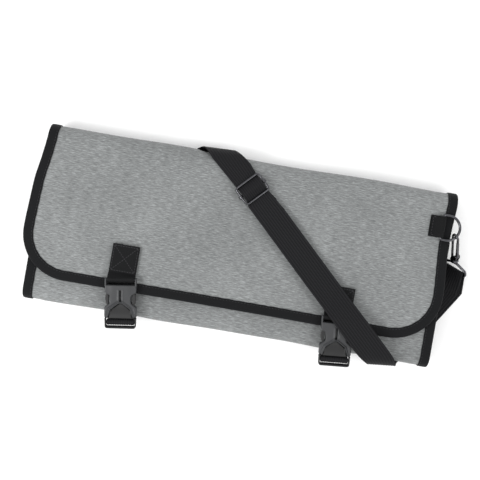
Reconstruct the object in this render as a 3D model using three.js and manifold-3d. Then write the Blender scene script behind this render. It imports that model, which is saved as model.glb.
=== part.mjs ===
import * as THREE from "three";
import { mergeVertices } from "three/addons/utils/BufferGeometryUtils.js";
import Module from "manifold-3d";

// A knife roll folded shut: a padded fabric panel wraps a flat hollow and closes with a bound flap, two side release
// buckles and a webbing shoulder strap that is wound round it. Millimetres. X runs along the folds, Y from the bottom
// fold to the top fold, Z up from the surface that it lies on to the flap's face.

// Case
const bagWidth = 452;
const bagDepth = 192;
const wall = 4;
const hollowHeight = 15;
const innerPanelReach = 140;
const innerCornerRadius = 16;
const flapReach = 150.6;
const flapCornerRadius = 50;
const flapShift = 4.4;
const flapFlare = 5.2;
const endLift = 4.4;
const sagHalf = 45;
const sagRamp = 60;
const strapAllowance = 4.6;

// Edge binding, a tape folded over the panel's edge
const tapeThickness = 0.8;
const bindingWidth = 11;

// Clearances
const gap = 0.3;

// Webbing
const strapWidth = 30;
const strapThickness = 1.4;
const tabWidth = 29.6;
const leftTabLength = 33.5;
const rightTabLength = 29;
const ringTabWidth = 23.5;
const ringTabLength = 12;

// Side release buckles
const buckleWidth = 34.5;
const buckleLength = 56.1;
const buckleThickness = 9;
const socketLength = 44;
const buckleOffset = 119;
const buckleRise = 15.65;
const bucklePitch = 6;
const buckleBarRadius = 1.6;
const socketBarAt = 2.8;
const slotEnd = 8.4;
const pocketStart = 16;
const slitStart = 15.5;
const slitEnd = 27.2;
const mouthApex = 29.5;
const mouthHalf = 11.2;
const armSlot = 15.4;
const wallOfSocket = 2.2;
const gripDepth = 6;
const plugBarAt = 49.2;
const lipCorner = 2.8;
const tabAboveBuckle = 1;
const tabStep = 3;
const rearTabReach = 20;

// Strap slider
const sliderAcross = 30;
const sliderAlong = 21.2;
const sliderWire = 1.2;
const sliderCorner = 3;
const barCollar = 3.6;

// Rings and hooks
const ringWire = 1.5;
const ringDepth = 19.5;
const ringInset = 13.9;
const ringBelowFold = 38.5;
const rearRingInset = 25.9;
const hookLength = 47.5;
const rearHookLength = 43.5;
const rearLinkLength = 24;
const hookWire = 1.4;
const bowRadius = 4.2;
const eyeWire = 1.4;
const eyeAcross = 31.2;
const gatePinRadius = 0.8;

// Strap route
const sliderX = 3;
const sliderBelowFold = 33;
const bottomBendAngle = 6;
const topBendAngle = 2.4;
const bottomTurnInset = 52.5;
const bottomStandOff = 5.4;
const bottomClimb = 0.25;
const topStandOff = 7.6;
const topClimb = 0.6;
const eyeHeight = 12.4;
const eyeStandOff = 13.7;
const eyeWayAngle = 83;
const eyeBarAngle = -25;
const layersPart = 6;

// Worked out from the sizes above
const halfWidth = bagWidth / 2 - gap - tapeThickness;
const bottomFoldY = -bagDepth / 2 + 1;
const topFoldY = bottomFoldY + bagDepth;
const layer = strapThickness + gap;
const bindingProud = gap + tapeThickness;
const backHeight = strapAllowance + wall / 2;
const bottomRadius = (hollowHeight + wall) / 2;
const topRadius = bottomRadius + (wall + 2 * bindingProud + gap) / 2;
const bottomCentreY = bottomFoldY + bottomRadius + wall / 2;
const topCentreY = topFoldY - topRadius - wall / 2;
const panelLength = innerPanelReach + Math.PI * (bottomRadius + topRadius) + topCentreY - bottomCentreY + flapReach;
const flapTop = backHeight + 2 * topRadius + wall / 2;
const flapEndTop = flapTop + endLift;
const backUnderside = backHeight - wall / 2 + endLift;
const degree = Math.PI / 180;
const flapEdgeY = topCentreY - flapReach - bindingProud;
const buckleTop = -flapEdgeY - buckleRise;
const sliderY = topFoldY - sliderBelowFold;
const bottomTurnX = bagWidth / 2 - bottomTurnInset;
const bottomTurnY = bottomFoldY - bottomStandOff;
const frontAngle = Math.atan2(bottomTurnY - sliderY, bottomTurnX - sliderX) / degree;

const grey = new THREE.MeshStandardMaterial({ color: 0x9c9d9f, roughness: 0.9, metalness: 0 });
const tapeBlack = new THREE.MeshStandardMaterial({ color: 0x28292b, roughness: 0.75, metalness: 0 });
const webbingBlack = new THREE.MeshStandardMaterial({ color: 0x1f2021, roughness: 0.8, metalness: 0 });
const plasticBlack = new THREE.MeshStandardMaterial({ color: 0x2b2c2e, roughness: 0.45, metalness: 0 });
const darkNickel = new THREE.MeshStandardMaterial({ color: 0x3a3a3c, roughness: 0.3, metalness: 1 });

const wasm = await Module();
wasm.setup();

const group = new THREE.Group();

function vec(x, y, z) {
  return new THREE.Vector3(x, y, z);
}

// A point so far along each of a frame's three axes
function place(frame, x, y, z) {
  return frame.origin.clone().addScaledVector(frame.x, x).addScaledVector(frame.y, y).addScaledVector(frame.z, z);
}

function smoothstep(t) {
  const k = Math.min(Math.max(t, 0), 1);
  return k * k * (3 - 2 * k);
}

function addMesh(name, geometry, material) {
  const mesh = new THREE.Mesh(geometry, material);
  mesh.name = name;
  group.add(mesh);
}

function volumeOf(geometry) {
  const points = geometry.attributes.position;
  const index = geometry.index.array;
  const corners = [vec(0, 0, 0), vec(0, 0, 0), vec(0, 0, 0)];
  let total = 0;
  for (let i = 0; i < index.length; i += 3) {
    corners.forEach((corner, j) => corner.fromBufferAttribute(points, index[i + j]));
    total += corners[0].dot(corners[1].clone().cross(corners[2])) / 6;
  }
  return total;
}

function faceOut(geometry) {
  if (volumeOf(geometry) < 0) {
    geometry.index.array.reverse();
  }
  geometry.computeVertexNormals();
  return geometry;
}

// The triangles of one end of a skin: a fan, or strips across a ring that runs along one face and back along the other
function endTriangles(first, count, folded) {
  const triangles = [];
  if (folded) {
    for (let j = 0; j < count / 2 - 1; j++) {
      const [a, b, c, d] = [first + j, first + j + 1, first + count - 2 - j, first + count - 1 - j];
      triangles.push([a, b, c], [a, c, d]);
    }
  } else {
    for (let j = 1; j < count - 1; j++) {
      triangles.push([first, first + j, first + j + 1]);
    }
  }
  return triangles;
}

// A closed skin over rings of points, each ring with as many points, with flat ends unless the last ring meets the first
function skin(rings, { closed = false, folded = false } = {}) {
  const count = rings[0].length;
  const spans = closed ? rings.length : rings.length - 1;
  const triangles = [];
  for (let i = 0; i < spans; i++) {
    const here = i * count;
    const next = ((i + 1) % rings.length) * count;
    for (let j = 0; j < count; j++) {
      const k = (j + 1) % count;
      triangles.push([here + j, next + j, next + k], [here + j, next + k, here + k]);
    }
  }
  if (!closed) {
    triangles.push(...endTriangles(0, count, folded));
    endTriangles((rings.length - 1) * count, count, folded).forEach(([a, b, c]) => triangles.push([a, c, b]));
  }
  const geometry = new THREE.BufferGeometry();
  const numbers = rings.flat().flatMap((point) => [point.x, point.y, point.z]);
  geometry.setAttribute("position", new THREE.Float32BufferAttribute(numbers, 3));
  geometry.setIndex(new THREE.BufferAttribute(new Uint32Array(triangles.flat()), 1));
  return faceOut(geometry);
}

function toManifold(geometry) {
  const bare = geometry.clone();
  bare.deleteAttribute("normal");
  bare.deleteAttribute("uv");
  const merged = mergeVertices(bare, 1e-4);
  return new wasm.Manifold(new wasm.Mesh({
    numProp: 3,
    vertProperties: new Float32Array(merged.attributes.position.array),
    triVerts: new Uint32Array(merged.index.array),
  }));
}

function toGeometry(manifold) {
  const mesh = manifold.getMesh();
  const geometry = new THREE.BufferGeometry();
  geometry.setAttribute("position", new THREE.BufferAttribute(new Float32Array(mesh.vertProperties), 3));
  geometry.setIndex(new THREE.BufferAttribute(new Uint32Array(mesh.triVerts), 1));
  geometry.computeVertexNormals();
  return geometry;
}

function join(geometries) {
  return geometries.map(toManifold).reduce((whole, piece) => whole.add(piece));
}

// A path through corners, each with its own rounding radius, as points with x and y
function roundedPath(corners, closed, stepAngle = 18) {
  const points = [];
  corners.forEach((corner, i) => {
    const isEnd = !closed && (i === 0 || i === corners.length - 1);
    if (isEnd || !corner.r) {
      points.push({ x: corner.x, y: corner.y });
      return;
    }
    const before = corners[(i + corners.length - 1) % corners.length];
    const after = corners[(i + 1) % corners.length];
    const inward = Math.atan2(corner.y - before.y, corner.x - before.x);
    const outward = Math.atan2(after.y - corner.y, after.x - corner.x);
    const turn = Math.atan2(Math.sin(outward - inward), Math.cos(outward - inward));
    const side = Math.sign(turn);
    const setBack = corner.r * Math.tan(Math.abs(turn) / 2);
    const startX = corner.x - setBack * Math.cos(inward);
    const startY = corner.y - setBack * Math.sin(inward);
    const centreX = startX - side * corner.r * Math.sin(inward);
    const centreY = startY + side * corner.r * Math.cos(inward);
    const steps = Math.max(1, Math.ceil(Math.abs(turn) / (stepAngle * degree)));
    for (let k = 0; k <= steps; k++) {
      const angle = inward + (turn * k) / steps;
      points.push({
        x: centreX + side * corner.r * Math.sin(angle),
        y: centreY - side * corner.r * Math.cos(angle),
      });
    }
  });
  return points;
}

// A round wire along a flat path that lies in a frame's x and y axes
function wire(path, frame, radius, closed, sides = 8) {
  const rings = path.map((point, i) => {
    const before = path[closed ? (i + path.length - 1) % path.length : Math.max(i - 1, 0)];
    const after = path[closed ? (i + 1) % path.length : Math.min(i + 1, path.length - 1)];
    const length = Math.hypot(after.x - before.x, after.y - before.y);
    const sideX = (after.y - before.y) / length;
    const sideY = -(after.x - before.x) / length;
    const ring = [];
    for (let j = 0; j < sides; j++) {
      const angle = (2 * Math.PI * (j + 0.5)) / sides;
      const out = radius * Math.cos(angle);
      ring.push(place(frame, point.x + sideX * out, point.y + sideY * out, radius * Math.sin(angle)));
    }
    return ring;
  });
  return skin(rings, { closed });
}

// A solid turned round a frame's y axis, from its profile of radius and height
function turned(profile, frame, sides = 16) {
  const rings = profile.map(({ r, y }) => {
    const ring = [];
    for (let j = 0; j < sides; j++) {
      const angle = (2 * Math.PI * j) / sides;
      ring.push(place(frame, r * Math.cos(angle), y, r * Math.sin(angle)));
    }
    return ring;
  });
  return skin(rings);
}

function matrixOf(frame) {
  return new THREE.Matrix4().makeBasis(frame.x, frame.y, frame.z).setPosition(frame.origin);
}

function shapeOf(points) {
  return new THREE.Shape(points.map((point) => new THREE.Vector2(point.x, point.y)));
}

// A plate with the outline and holes given in a frame's x and y, from low to high along its z
function plate(outline, holes, low, high, frame) {
  const shape = shapeOf(outline);
  shape.holes = holes.map((hole) => shapeOf(hole));
  const geometry = new THREE.ExtrudeGeometry(shape, { depth: high - low, bevelEnabled: false, curveSegments: 1 });
  geometry.translate(0, 0, low);
  geometry.applyMatrix4(matrixOf(frame));
  return geometry;
}

function rectangle(halfX, lowY, highY, r = 0) {
  const corners = [
    { x: -halfX, y: lowY, r },
    { x: halfX, y: lowY, r },
    { x: halfX, y: highY, r },
    { x: -halfX, y: highY, r },
  ];
  return r ? roundedPath(corners, true, 30) : corners;
}

function circle(x, y, radius, sides = 16) {
  return Array.from({ length: sides }, (_, i) => ({
    x: x + radius * Math.cos((2 * Math.PI * i) / sides),
    y: y + radius * Math.sin((2 * Math.PI * i) / sides),
  }));
}

// The panel's folded path

function sag(x) {
  return endLift * smoothstep((Math.abs(x) - sagHalf) / sagRamp);
}

// The case's middle line in Y and Z at a distance from the inner panel's free edge, with the way out from it
function foldedPath(distance) {
  const stretches = [innerPanelReach, Math.PI * bottomRadius, topCentreY - bottomCentreY, Math.PI * topRadius];
  let rest = distance;
  if (rest < stretches[0]) {
    return { y: bottomCentreY + innerPanelReach - rest, z: backHeight + 2 * bottomRadius, outY: 0, outZ: 1 };
  }
  rest -= stretches[0];
  if (rest < stretches[1]) {
    const angle = rest / bottomRadius;
    const outY = -Math.sin(angle);
    const outZ = Math.cos(angle);
    return { y: bottomCentreY + bottomRadius * outY, z: backHeight + bottomRadius * (1 + outZ), outY, outZ };
  }
  rest -= stretches[1];
  if (rest < stretches[2]) {
    return { y: bottomCentreY + rest, z: backHeight, outY: 0, outZ: -1 };
  }
  rest -= stretches[2];
  if (rest < stretches[3]) {
    const angle = rest / topRadius;
    const outY = Math.sin(angle);
    const outZ = -Math.cos(angle);
    return { y: topCentreY + topRadius * outY, z: backHeight + topRadius * (1 + outZ), outY, outZ };
  }
  rest -= stretches[3];
  return { y: topCentreY - rest, z: backHeight + 2 * topRadius, outY: 0, outZ: 1 };
}

// How far the flap has moved left and widened, as shares of flapShift and flapFlare at shares of its length
const flapSections = [
  { along: 0, shift: 0, flare: 0 },
  { along: 0.15, shift: 0.5, flare: 0.1 },
  { along: 0.3, shift: 1, flare: 0.4 },
  { along: 0.62, shift: 0.85, flare: 1 },
  { along: 1, shift: 1, flare: 0.9 },
];

function flapForm(distance) {
  const along = (distance - (panelLength - flapReach)) / flapReach;
  if (along <= 0) {
    return flapSections[0];
  }
  const next = flapSections.findIndex((section) => section.along >= Math.min(along, 1));
  const before = flapSections[Math.max(next - 1, 0)];
  const after = flapSections[next];
  const t = next === 0 ? 0 : (Math.min(along, 1) - before.along) / (after.along - before.along);
  return {
    shift: THREE.MathUtils.lerp(before.shift, after.shift, t),
    flare: THREE.MathUtils.lerp(before.flare, after.flare, t),
  };
}

// A point of the flat panel, across and along it and out from its middle, carried to the folded case
function onCase(across, distance, out) {
  const path = foldedPath(distance);
  const form = flapForm(distance);
  const x = across * (1 + (form.flare * flapFlare) / halfWidth) - form.shift * flapShift;
  return vec(x, path.y + out * path.outY, path.z + out * path.outZ + sag(x));
}

// The panel's outline

const sagColumns = [0, 0.25, 0.5, 0.75, 1].map((share) => sagHalf + share * sagRamp);
const rightColumns = [...sagColumns, (sagHalf + sagRamp + halfWidth) / 2];
const innerColumns = [...rightColumns.map((across) => -across).reverse(), 0, ...rightColumns];
const cornerSteps = 9;
const innerCornerSteps = 5;
const foldSteps = 10;

function straightRows() {
  const rows = [innerCornerRadius];
  const bottomStart = innerPanelReach;
  const topStart = bottomStart + Math.PI * bottomRadius + topCentreY - bottomCentreY;
  for (let i = 0; i <= foldSteps; i++) {
    rows.push(bottomStart + (Math.PI * bottomRadius * i) / foldSteps);
  }
  for (let i = 0; i <= foldSteps; i++) {
    rows.push(topStart + (Math.PI * topRadius * i) / foldSteps);
  }
  flapSections.slice(1).forEach((section) => {
    const row = panelLength - flapReach + section.along * flapReach;
    if (row < panelLength - flapCornerRadius - 1) {
      rows.push(row);
    }
  });
  rows.push(panelLength - flapCornerRadius);
  return rows;
}

// Stations of a rounded corner from the side to the free edge: distance in from the side and from the free edge
function cornerStations(radius, steps) {
  return Array.from({ length: steps + 1 }, (_, i) => {
    const angle = (Math.PI / 2) * (i / steps);
    return { angle, fromSide: radius * (1 - Math.cos(angle)), fromEdge: radius * (1 - Math.sin(angle)) };
  });
}

function casePanel() {
  const inner = cornerStations(innerCornerRadius, innerCornerSteps);
  const flap = cornerStations(flapCornerRadius, cornerSteps);
  const rows = [
    ...inner.slice(1).reverse().map((corner) => ({ at: corner.fromEdge, half: halfWidth - corner.fromSide })),
    ...straightRows().map((at) => ({ at, half: halfWidth })),
    ...flap.slice(1).map((corner) => ({ at: panelLength - corner.fromEdge, half: halfWidth - corner.fromSide })),
  ];
  const rings = rows.map(({ at, half }) => {
    const columns = [-half, ...innerColumns, half];
    const front = columns.map((across) => onCase(across, at, wall / 2));
    const behind = columns.map((across) => onCase(across, at, -wall / 2));
    return [...front, ...behind.reverse()];
  });
  return skin(rings, { folded: true });
}

// Stations once round the panel's edge, each with its place on the flat panel and the way out across the edge
function edgeStations() {
  const flap = cornerStations(flapCornerRadius, cornerSteps);
  const inner = cornerStations(innerCornerRadius, innerCornerSteps);
  const side = straightRows().map((at) => ({ across: halfWidth, at, outX: 1, outY: 0 }));
  const corner = (stations, atOf, sign) => stations.slice(1).map(({ angle, fromSide, fromEdge }) => ({
    across: halfWidth - fromSide,
    at: atOf(fromEdge),
    outX: Math.cos(angle),
    outY: sign * Math.sin(angle),
  }));
  const right = [
    ...corner(inner, (fromEdge) => fromEdge, -1).reverse(),
    ...side,
    ...corner(flap, (fromEdge) => panelLength - fromEdge, 1),
  ];
  const left = right.map((station) => ({ ...station, across: -station.across, outX: -station.outX })).reverse();
  const flapEdge = innerColumns.slice().reverse().map((across) => ({ across, at: panelLength, outX: 0, outY: 1 }));
  const innerEdge = innerColumns.map((across) => ({ across, at: 0, outX: 0, outY: -1 }));
  return [...right, ...flapEdge, ...left, ...innerEdge];
}

function edgeBinding() {
  const inside = wall / 2 + gap;
  const outside = inside + tapeThickness;
  const edge = bindingProud;
  const root = bindingProud - bindingWidth;
  const round = 1;
  const section = [
    { out: root, up: outside },
    { out: edge - round, up: outside },
    { out: edge, up: outside - round },
    { out: edge, up: round - outside },
    { out: edge - round, up: -outside },
    { out: root, up: -outside },
    { out: root, up: -inside },
    { out: gap, up: -inside },
    { out: gap, up: inside },
    { out: root, up: inside },
  ];
  const rings = edgeStations().map((station) => section.map(({ out, up }) => (
    onCase(station.across + out * station.outX, station.at + out * station.outY, up)
  )));
  return skin(rings, { closed: true });
}

// Webbing

// A tight line past round guides, as points with a place along and up. A guide has its centre, its radius, and a turn of
// 1 when the line bends left round it or -1 when it bends right. The ends are guides with no radius.
function belt(guides, stepAngle = 18) {
  const points = [];
  const directions = guides.slice(1).map((guide, i) => {
    const before = guides[i];
    const reachX = guide.x - before.x;
    const reachY = guide.y - before.y;
    const spread = (guide.turn || 0) * (guide.r || 0) - (before.turn || 0) * (before.r || 0);
    return Math.atan2(reachY, reachX) - Math.asin(spread / Math.hypot(reachX, reachY));
  });
  guides.forEach((guide, i) => {
    if (!guide.r) {
      points.push({ x: guide.x, y: guide.y });
      return;
    }
    const from = directions[i - 1];
    const whole = 2 * Math.PI;
    const sweep = guide.turn * ((((guide.turn * (directions[i] - from)) % whole) + whole) % whole);
    const steps = Math.max(1, Math.ceil(Math.abs(sweep) / (stepAngle * degree)));
    for (let k = 0; k <= steps; k++) {
      const angle = from + (sweep * k) / steps;
      points.push({
        x: guide.x + guide.turn * guide.r * Math.sin(angle),
        y: guide.y - guide.turn * guide.r * Math.cos(angle),
      });
    }
  });
  return points;
}

// Guides for a second layer of webbing that lies inside the first, under it at the start and over it at the end
function innerLayer(guides) {
  return guides.map((guide, i) => {
    if (guide.r) {
      return { ...guide, r: guide.r + guide.turn * layer };
    }
    return { ...guide, y: guide.y + (i ? layer : -layer) };
  });
}

// Stations of webbing along a belt in a frame's x and z, which drifts along the frame's y by a share of its way. Its
// climbs and drops count in that way by the share climb.
function layBelt(points, frame, { drift = 0, climb = 1, width = strapWidth } = {}) {
  let way = 0;
  return points.map((point, i) => {
    if (i) {
      way += Math.hypot(point.x - points[i - 1].x, climb * (point.y - points[i - 1].y));
    }
    return { at: place(frame, point.x, drift * way, point.y), across: frame.y, width };
  });
}

// A flat band of webbing through its stations, cut to its width whatever way its stations lie across it
function webbing(stations, thickness = strapThickness) {
  const rings = stations.map((station, i) => {
    const before = stations[Math.max(i - 1, 0)].at;
    const after = stations[Math.min(i + 1, stations.length - 1)].at;
    const ahead = after.clone().sub(before).normalize();
    const up = station.across.clone().cross(ahead);
    const half = station.across.clone().multiplyScalar(station.width / 2 / up.length());
    up.normalize().multiplyScalar(thickness / 2);
    return [
      station.at.clone().add(half).add(up),
      station.at.clone().sub(half).add(up),
      station.at.clone().sub(half).sub(up),
      station.at.clone().add(half).sub(up),
    ];
  });
  return skin(rings);
}

// A level direction at an angle from X
function heading(angle) {
  return vec(Math.cos(angle * degree), Math.sin(angle * degree), 0);
}

const up = vec(0, 0, 1);

// Side release buckles

// Two buckles, each with its side of the case, its turn and the length of its tab
const buckles = [
  { side: "left", x: -buckleOffset - 1.5, turn: 8.5, tabLength: leftTabLength },
  { side: "right", x: buckleOffset - 2, turn: 5.5, tabLength: rightTabLength },
];

function tabTopY({ tabLength }) {
  return tabAboveBuckle + tabLength - buckleTop;
}

// The buckle's own frame: x across it, y from its webbing bar to its lower end, z up from its underside
function buckleFrame({ x, turn }) {
  const level = vec(Math.sin(turn * degree), -Math.cos(turn * degree), 0);
  const pitch = bucklePitch * degree;
  const along = level.clone().multiplyScalar(Math.cos(pitch)).addScaledVector(up, -Math.sin(pitch));
  const across = vec(-Math.cos(turn * degree), -Math.sin(turn * degree), 0);
  const height = flapEndTop + bindingProud + gap + buckleRise * Math.tan(pitch);
  return { origin: vec(x, -buckleTop, height), x: across, y: along, z: across.clone().cross(along) };
}

const lipStart = plugBarAt + buckleBarRadius + 2 * gap + strapThickness + gap;
const hubEnd = plugBarAt - buckleBarRadius - 2 * gap - strapThickness - 3 * gap;

// The socket's side, with how far in it lies and its corner's radius, along shares of the socket
const gripSections = [
  { along: 0.375, inward: 0, r: 2 },
  { along: 0.455, inward: 1, r: 3 },
  { along: 0.636, inward: 1, r: 3 },
  { along: 0.739, inward: 0, r: 2 },
];

function buckleSocket(frame) {
  const half = buckleWidth / 2;
  const grip = gripSections.map(({ along, inward, r }) => (
    { x: half - inward * gripDepth, y: along * socketLength, r }
  ));
  const right = [
    { x: half, y: slotEnd, r: 0 },
    ...grip,
    { x: half, y: socketLength, r: 0.8 },
    { x: mouthHalf, y: socketLength, r: 0.8 },
    { x: 2, y: mouthApex, r: 0.8 },
  ];
  const body = [...right, ...right.map((corner) => ({ ...corner, x: -corner.x })).reverse()];
  const shell = plate(roundedPath(body, true, 45), [], 0, buckleThickness, frame);
  const arms = [-1, 1].map((side) => {
    const inner = side * armSlot;
    const outer = side * half;
    const outline = [
      { x: Math.min(inner, outer), y: 0.8 },
      { x: Math.max(inner, outer), y: 0.8 },
      { x: Math.max(inner, outer), y: slotEnd + 1 },
      { x: Math.min(inner, outer), y: slotEnd + 1 },
    ];
    return plate(outline, [], 2, buckleThickness - 1.5, frame);
  });
  const barFrame = { origin: place(frame, 0, socketBarAt, buckleThickness / 2), x: frame.y, y: frame.x, z: frame.z };
  const bar = wire([{ x: 0, y: -half + 0.5 }, { x: 0, y: half - 0.5 }], barFrame, buckleBarRadius, false);
  const pocket = plate(rectangle(armSlot, pocketStart, socketLength + 1), [], wallOfSocket,
    buckleThickness - wallOfSocket, frame);
  const slit = plate(rectangle(1.1, slitStart, slitEnd), [], buckleThickness / 2, buckleThickness + 1, frame);
  return toGeometry(join([shell, ...arms, bar]).subtract(toManifold(pocket)).subtract(toManifold(slit)));
}

// A prong's two edges as shares of the arm slot, along shares of the socket
const prongSections = [
  { along: 0.395, inner: 0.81, outer: 0.81 },
  { along: 0.44, inner: 0.65, outer: 0.96 },
  { along: 0.7, inner: 0.52, outer: 0.96 },
  { along: 0.81, inner: 0.52, outer: 0.78 },
];

function bucklePlug(frame) {
  const half = buckleWidth / 2;
  const base = [
    { x: -half, y: socketLength + gap, r: 0 },
    { x: half, y: socketLength + gap, r: 0 },
    { x: half, y: buckleLength, r: lipCorner },
    { x: -half, y: buckleLength, r: lipCorner },
  ];
  const slot = rectangle(armSlot, hubEnd, lipStart);
  const barFrame = { origin: place(frame, 0, plugBarAt, buckleThickness / 2), x: frame.y, y: frame.x, z: frame.z };
  const hub = [
    { x: -2 + gap, y: mouthApex + gap },
    { x: 2 - gap, y: mouthApex + gap },
    { x: mouthHalf - gap * 1.6, y: socketLength + gap + 0.5 },
    { x: -mouthHalf + gap * 1.6, y: socketLength + gap + 0.5 },
  ];
  const edge = (name) => prongSections.map((section) => (
    { x: section[name] * armSlot, y: section.along * socketLength }
  ));
  const inner = edge("inner").slice(1, -1).reverse();
  const outer = edge("outer");
  const rightProng = [...inner, ...outer, { x: outer[outer.length - 1].x, y: socketLength + gap + 0.5 }];
  const prongs = [...rightProng, ...rightProng.map((corner) => ({ ...corner, x: -corner.x })).reverse()];
  const middle = buckleThickness / 2;
  return toGeometry(join([
    plate(roundedPath(base, true, 30), [slot], middle - 2.4, middle + 2.4, frame),
    wire([{ x: 0, y: -half + 0.5 }, { x: 0, y: half - 0.5 }], barFrame, buckleBarRadius, false),
    plate(hub, [], middle - 2.4, buckleThickness - 1, frame),
    plate(prongs, [], wallOfSocket + gap, buckleThickness - wallOfSocket - gap, frame),
    plate(roundedPath(base.map((corner) => ({ ...corner, y: Math.max(corner.y, lipStart) })), true, 30), [], 1,
      buckleThickness - 0.6, frame),
  ]));
}

function fromFrame(frame, point) {
  const away = point.clone().sub(frame.origin);
  return { x: away.dot(frame.y), y: away.dot(frame.z) };
}

// The webbing tab that holds a socket to the flap: sewn flat, over the bar, and back underneath
function buckleTab(buckle, frame) {
  const { x } = buckle;
  const barRound = buckleBarRadius + gap + strapThickness / 2;
  const lowerHeight = flapEndTop + gap + strapThickness / 2;
  const sewnEnd = tabAboveBuckle + tabStep - buckleTop;
  const plane = { origin: frame.origin, x: frame.y, y: frame.x, z: frame.z };
  const start = fromFrame(frame, vec(x, sewnEnd, lowerHeight + layer));
  const end = fromFrame(frame, vec(x, sewnEnd, lowerHeight));
  const bar = { x: socketBarAt, y: buckleThickness / 2, r: barRound, turn: -1 };
  const round = layBelt(belt([start, bar, end]), plane, { width: tabWidth });
  const flat = (y, height) => ({ at: vec(x, y, height), across: vec(-1, 0, 0), width: tabWidth });
  round[0] = flat(sewnEnd, lowerHeight + layer);
  round[round.length - 1] = flat(sewnEnd, lowerHeight);
  const topY = tabTopY(buckle);
  return webbing([flat(topY, lowerHeight + layer), ...round, flat(topY - tabStep, lowerHeight)]);
}

// The webbing that holds a plug: sewn to the back, round the bottom fold, and over the plug's bar
function buckleStrap({ x, turn }, frame) {
  const slack = (tabWidth / 2) * Math.sin(turn * degree);
  const foldRound = bottomRadius + wall / 2 + gap + strapThickness / 2;
  const barRound = buckleBarRadius + gap + strapThickness / 2;
  const plane = { origin: frame.origin, x: frame.y, y: frame.x, z: frame.z };
  const onStrap = (y, z) => fromFrame(frame, vec(x + (-buckleTop - y) * Math.tan(turn * degree), y, z));
  const rearHeight = backUnderside - gap - strapThickness / 2;
  const start = onStrap(-buckleTop + rearTabReach, rearHeight);
  const flatEnd = onStrap(bottomCentreY + 1, rearHeight);
  const fold = { ...onStrap(bottomCentreY - slack, backHeight + bottomRadius + endLift), r: foldRound, turn: 1 };
  const bar = { x: plugBarAt, y: buckleThickness / 2, r: barRound, turn: -1 };
  const end = { x: plugBarAt - 6, y: -9 };
  return webbing(layBelt(belt([start, flatEnd, fold, bar, end]), plane, { width: tabWidth }));
}

// Slider

const sliderHeight = flapTop + gap + 3 * strapThickness + 3 * gap + sliderWire;
const sliderFrame = {
  origin: vec(sliderX, sliderY, sliderHeight),
  x: heading(frontAngle),
  y: heading(frontAngle + 90),
  z: up,
};

function sliderOutline() {
  return [
    { x: -sliderAlong / 2, y: -sliderAcross / 2, r: sliderCorner },
    { x: sliderAlong / 2, y: -sliderAcross / 2, r: sliderCorner },
    { x: sliderAlong / 2, y: sliderAcross / 2, r: sliderCorner },
    { x: -sliderAlong / 2, y: sliderAcross / 2, r: sliderCorner },
  ];
}

// The middle bar, with a collar at each end that wraps the frame's side wire
function sliderBar() {
  const inner = sliderWire + gap;
  const outer = inner + sliderWire;
  const standing = { origin: sliderFrame.origin, x: sliderFrame.y, y: sliderFrame.z, z: sliderFrame.x };
  const collars = [-1, 1].map((side) => {
    const middle = (side * sliderAcross) / 2;
    return plate(circle(middle, 0, outer), [circle(middle, 0, inner)], -barCollar / 2, barCollar / 2, standing);
  });
  const reach = sliderAcross / 2 - inner - gap;
  return toGeometry(join([wire([{ x: 0, y: -reach }, { x: 0, y: reach }], sliderFrame, sliderWire, false), ...collars]));
}

// Rings

function ringFrame(origin, along) {
  return { origin, x: along, y: up.clone().cross(along), z: up };
}

const ringHalf = ringTabWidth / 2 + gap + ringWire;

// A closed D: a straight bar at the frame's y axis, and a half round that reaches out along x
function ringPath() {
  const centre = ringDepth - ringHalf;
  const corners = [
    { x: centre, y: ringHalf, r: 0 },
    { x: 0, y: ringHalf, r: 2.4 },
    { x: 0, y: -ringHalf, r: 2.4 },
    { x: centre, y: -ringHalf, r: 0 },
  ];
  const bow = Array.from({ length: 9 }, (_, i) => {
    const angle = (Math.PI * (i + 1)) / 10 - Math.PI / 2;
    return { x: centre + ringHalf * Math.cos(angle), y: ringHalf * Math.sin(angle) };
  });
  return [...roundedPath(corners, false, 30), ...bow];
}

// A tab folded round a ring's bar, its two ends one on the other against the case, which lies up or down from it
function ringTab(frame, caseAt, toCase) {
  const barRound = ringWire + gap + strapThickness / 2;
  const outer = caseAt - toCase * (gap + strapThickness / 2) - frame.origin.z;
  const inner = outer - toCase * layer;
  const ends = [{ x: -ringTabLength - 1, y: outer }, { x: -ringTabLength, y: inner }];
  const guides = [ends[0], { x: -ringTabLength + 5, y: outer }, { x: 0, y: 0, r: barRound, turn: -toCase },
    { x: -ringTabLength + 5, y: inner }, ends[1]];
  const plane = { origin: frame.origin, x: frame.x, y: frame.y, z: up };
  return webbing(layBelt(belt(guides), plane, { width: ringTabWidth }));
}

const ringMiddleX = bagWidth / 2 - ringInset;
const frontRingHeight = flapEndTop + bindingProud + 2 * gap + strapThickness + ringWire;
const rearRingHeight = backUnderside / 2 + 0.4;
const ringY = topFoldY - ringBelowFold;
const frontRing = ringFrame(vec(ringMiddleX, ringY, frontRingHeight), heading(0));
const rearRing = ringFrame(vec(rearRingInset - bagWidth / 2, -ringY, rearRingHeight), heading(0));

// The middle of a ring's wire at an angle round its half round
function ringPoint(frame, angle) {
  const centre = ringDepth - ringHalf;
  const x = centre + ringHalf * Math.cos(angle * degree);
  return place(frame, x, ringHalf * Math.sin(angle * degree), 0);
}

const frontGrip = ringPoint(frontRing, -40);
const rearGrip = ringPoint(rearRing, 46);

// The strap's route

const frontWay = heading(frontAngle);
const floorLayer = strapThickness / 2;
const barRound = sliderWire + gap + strapThickness / 2;
const railGuide = { x: sliderAlong / 2, y: 0, r: barRound };
const buckleTopHeight = buckleFrame(buckles[1]).origin.z + buckleThickness;
const sliderExit = 25;

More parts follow.
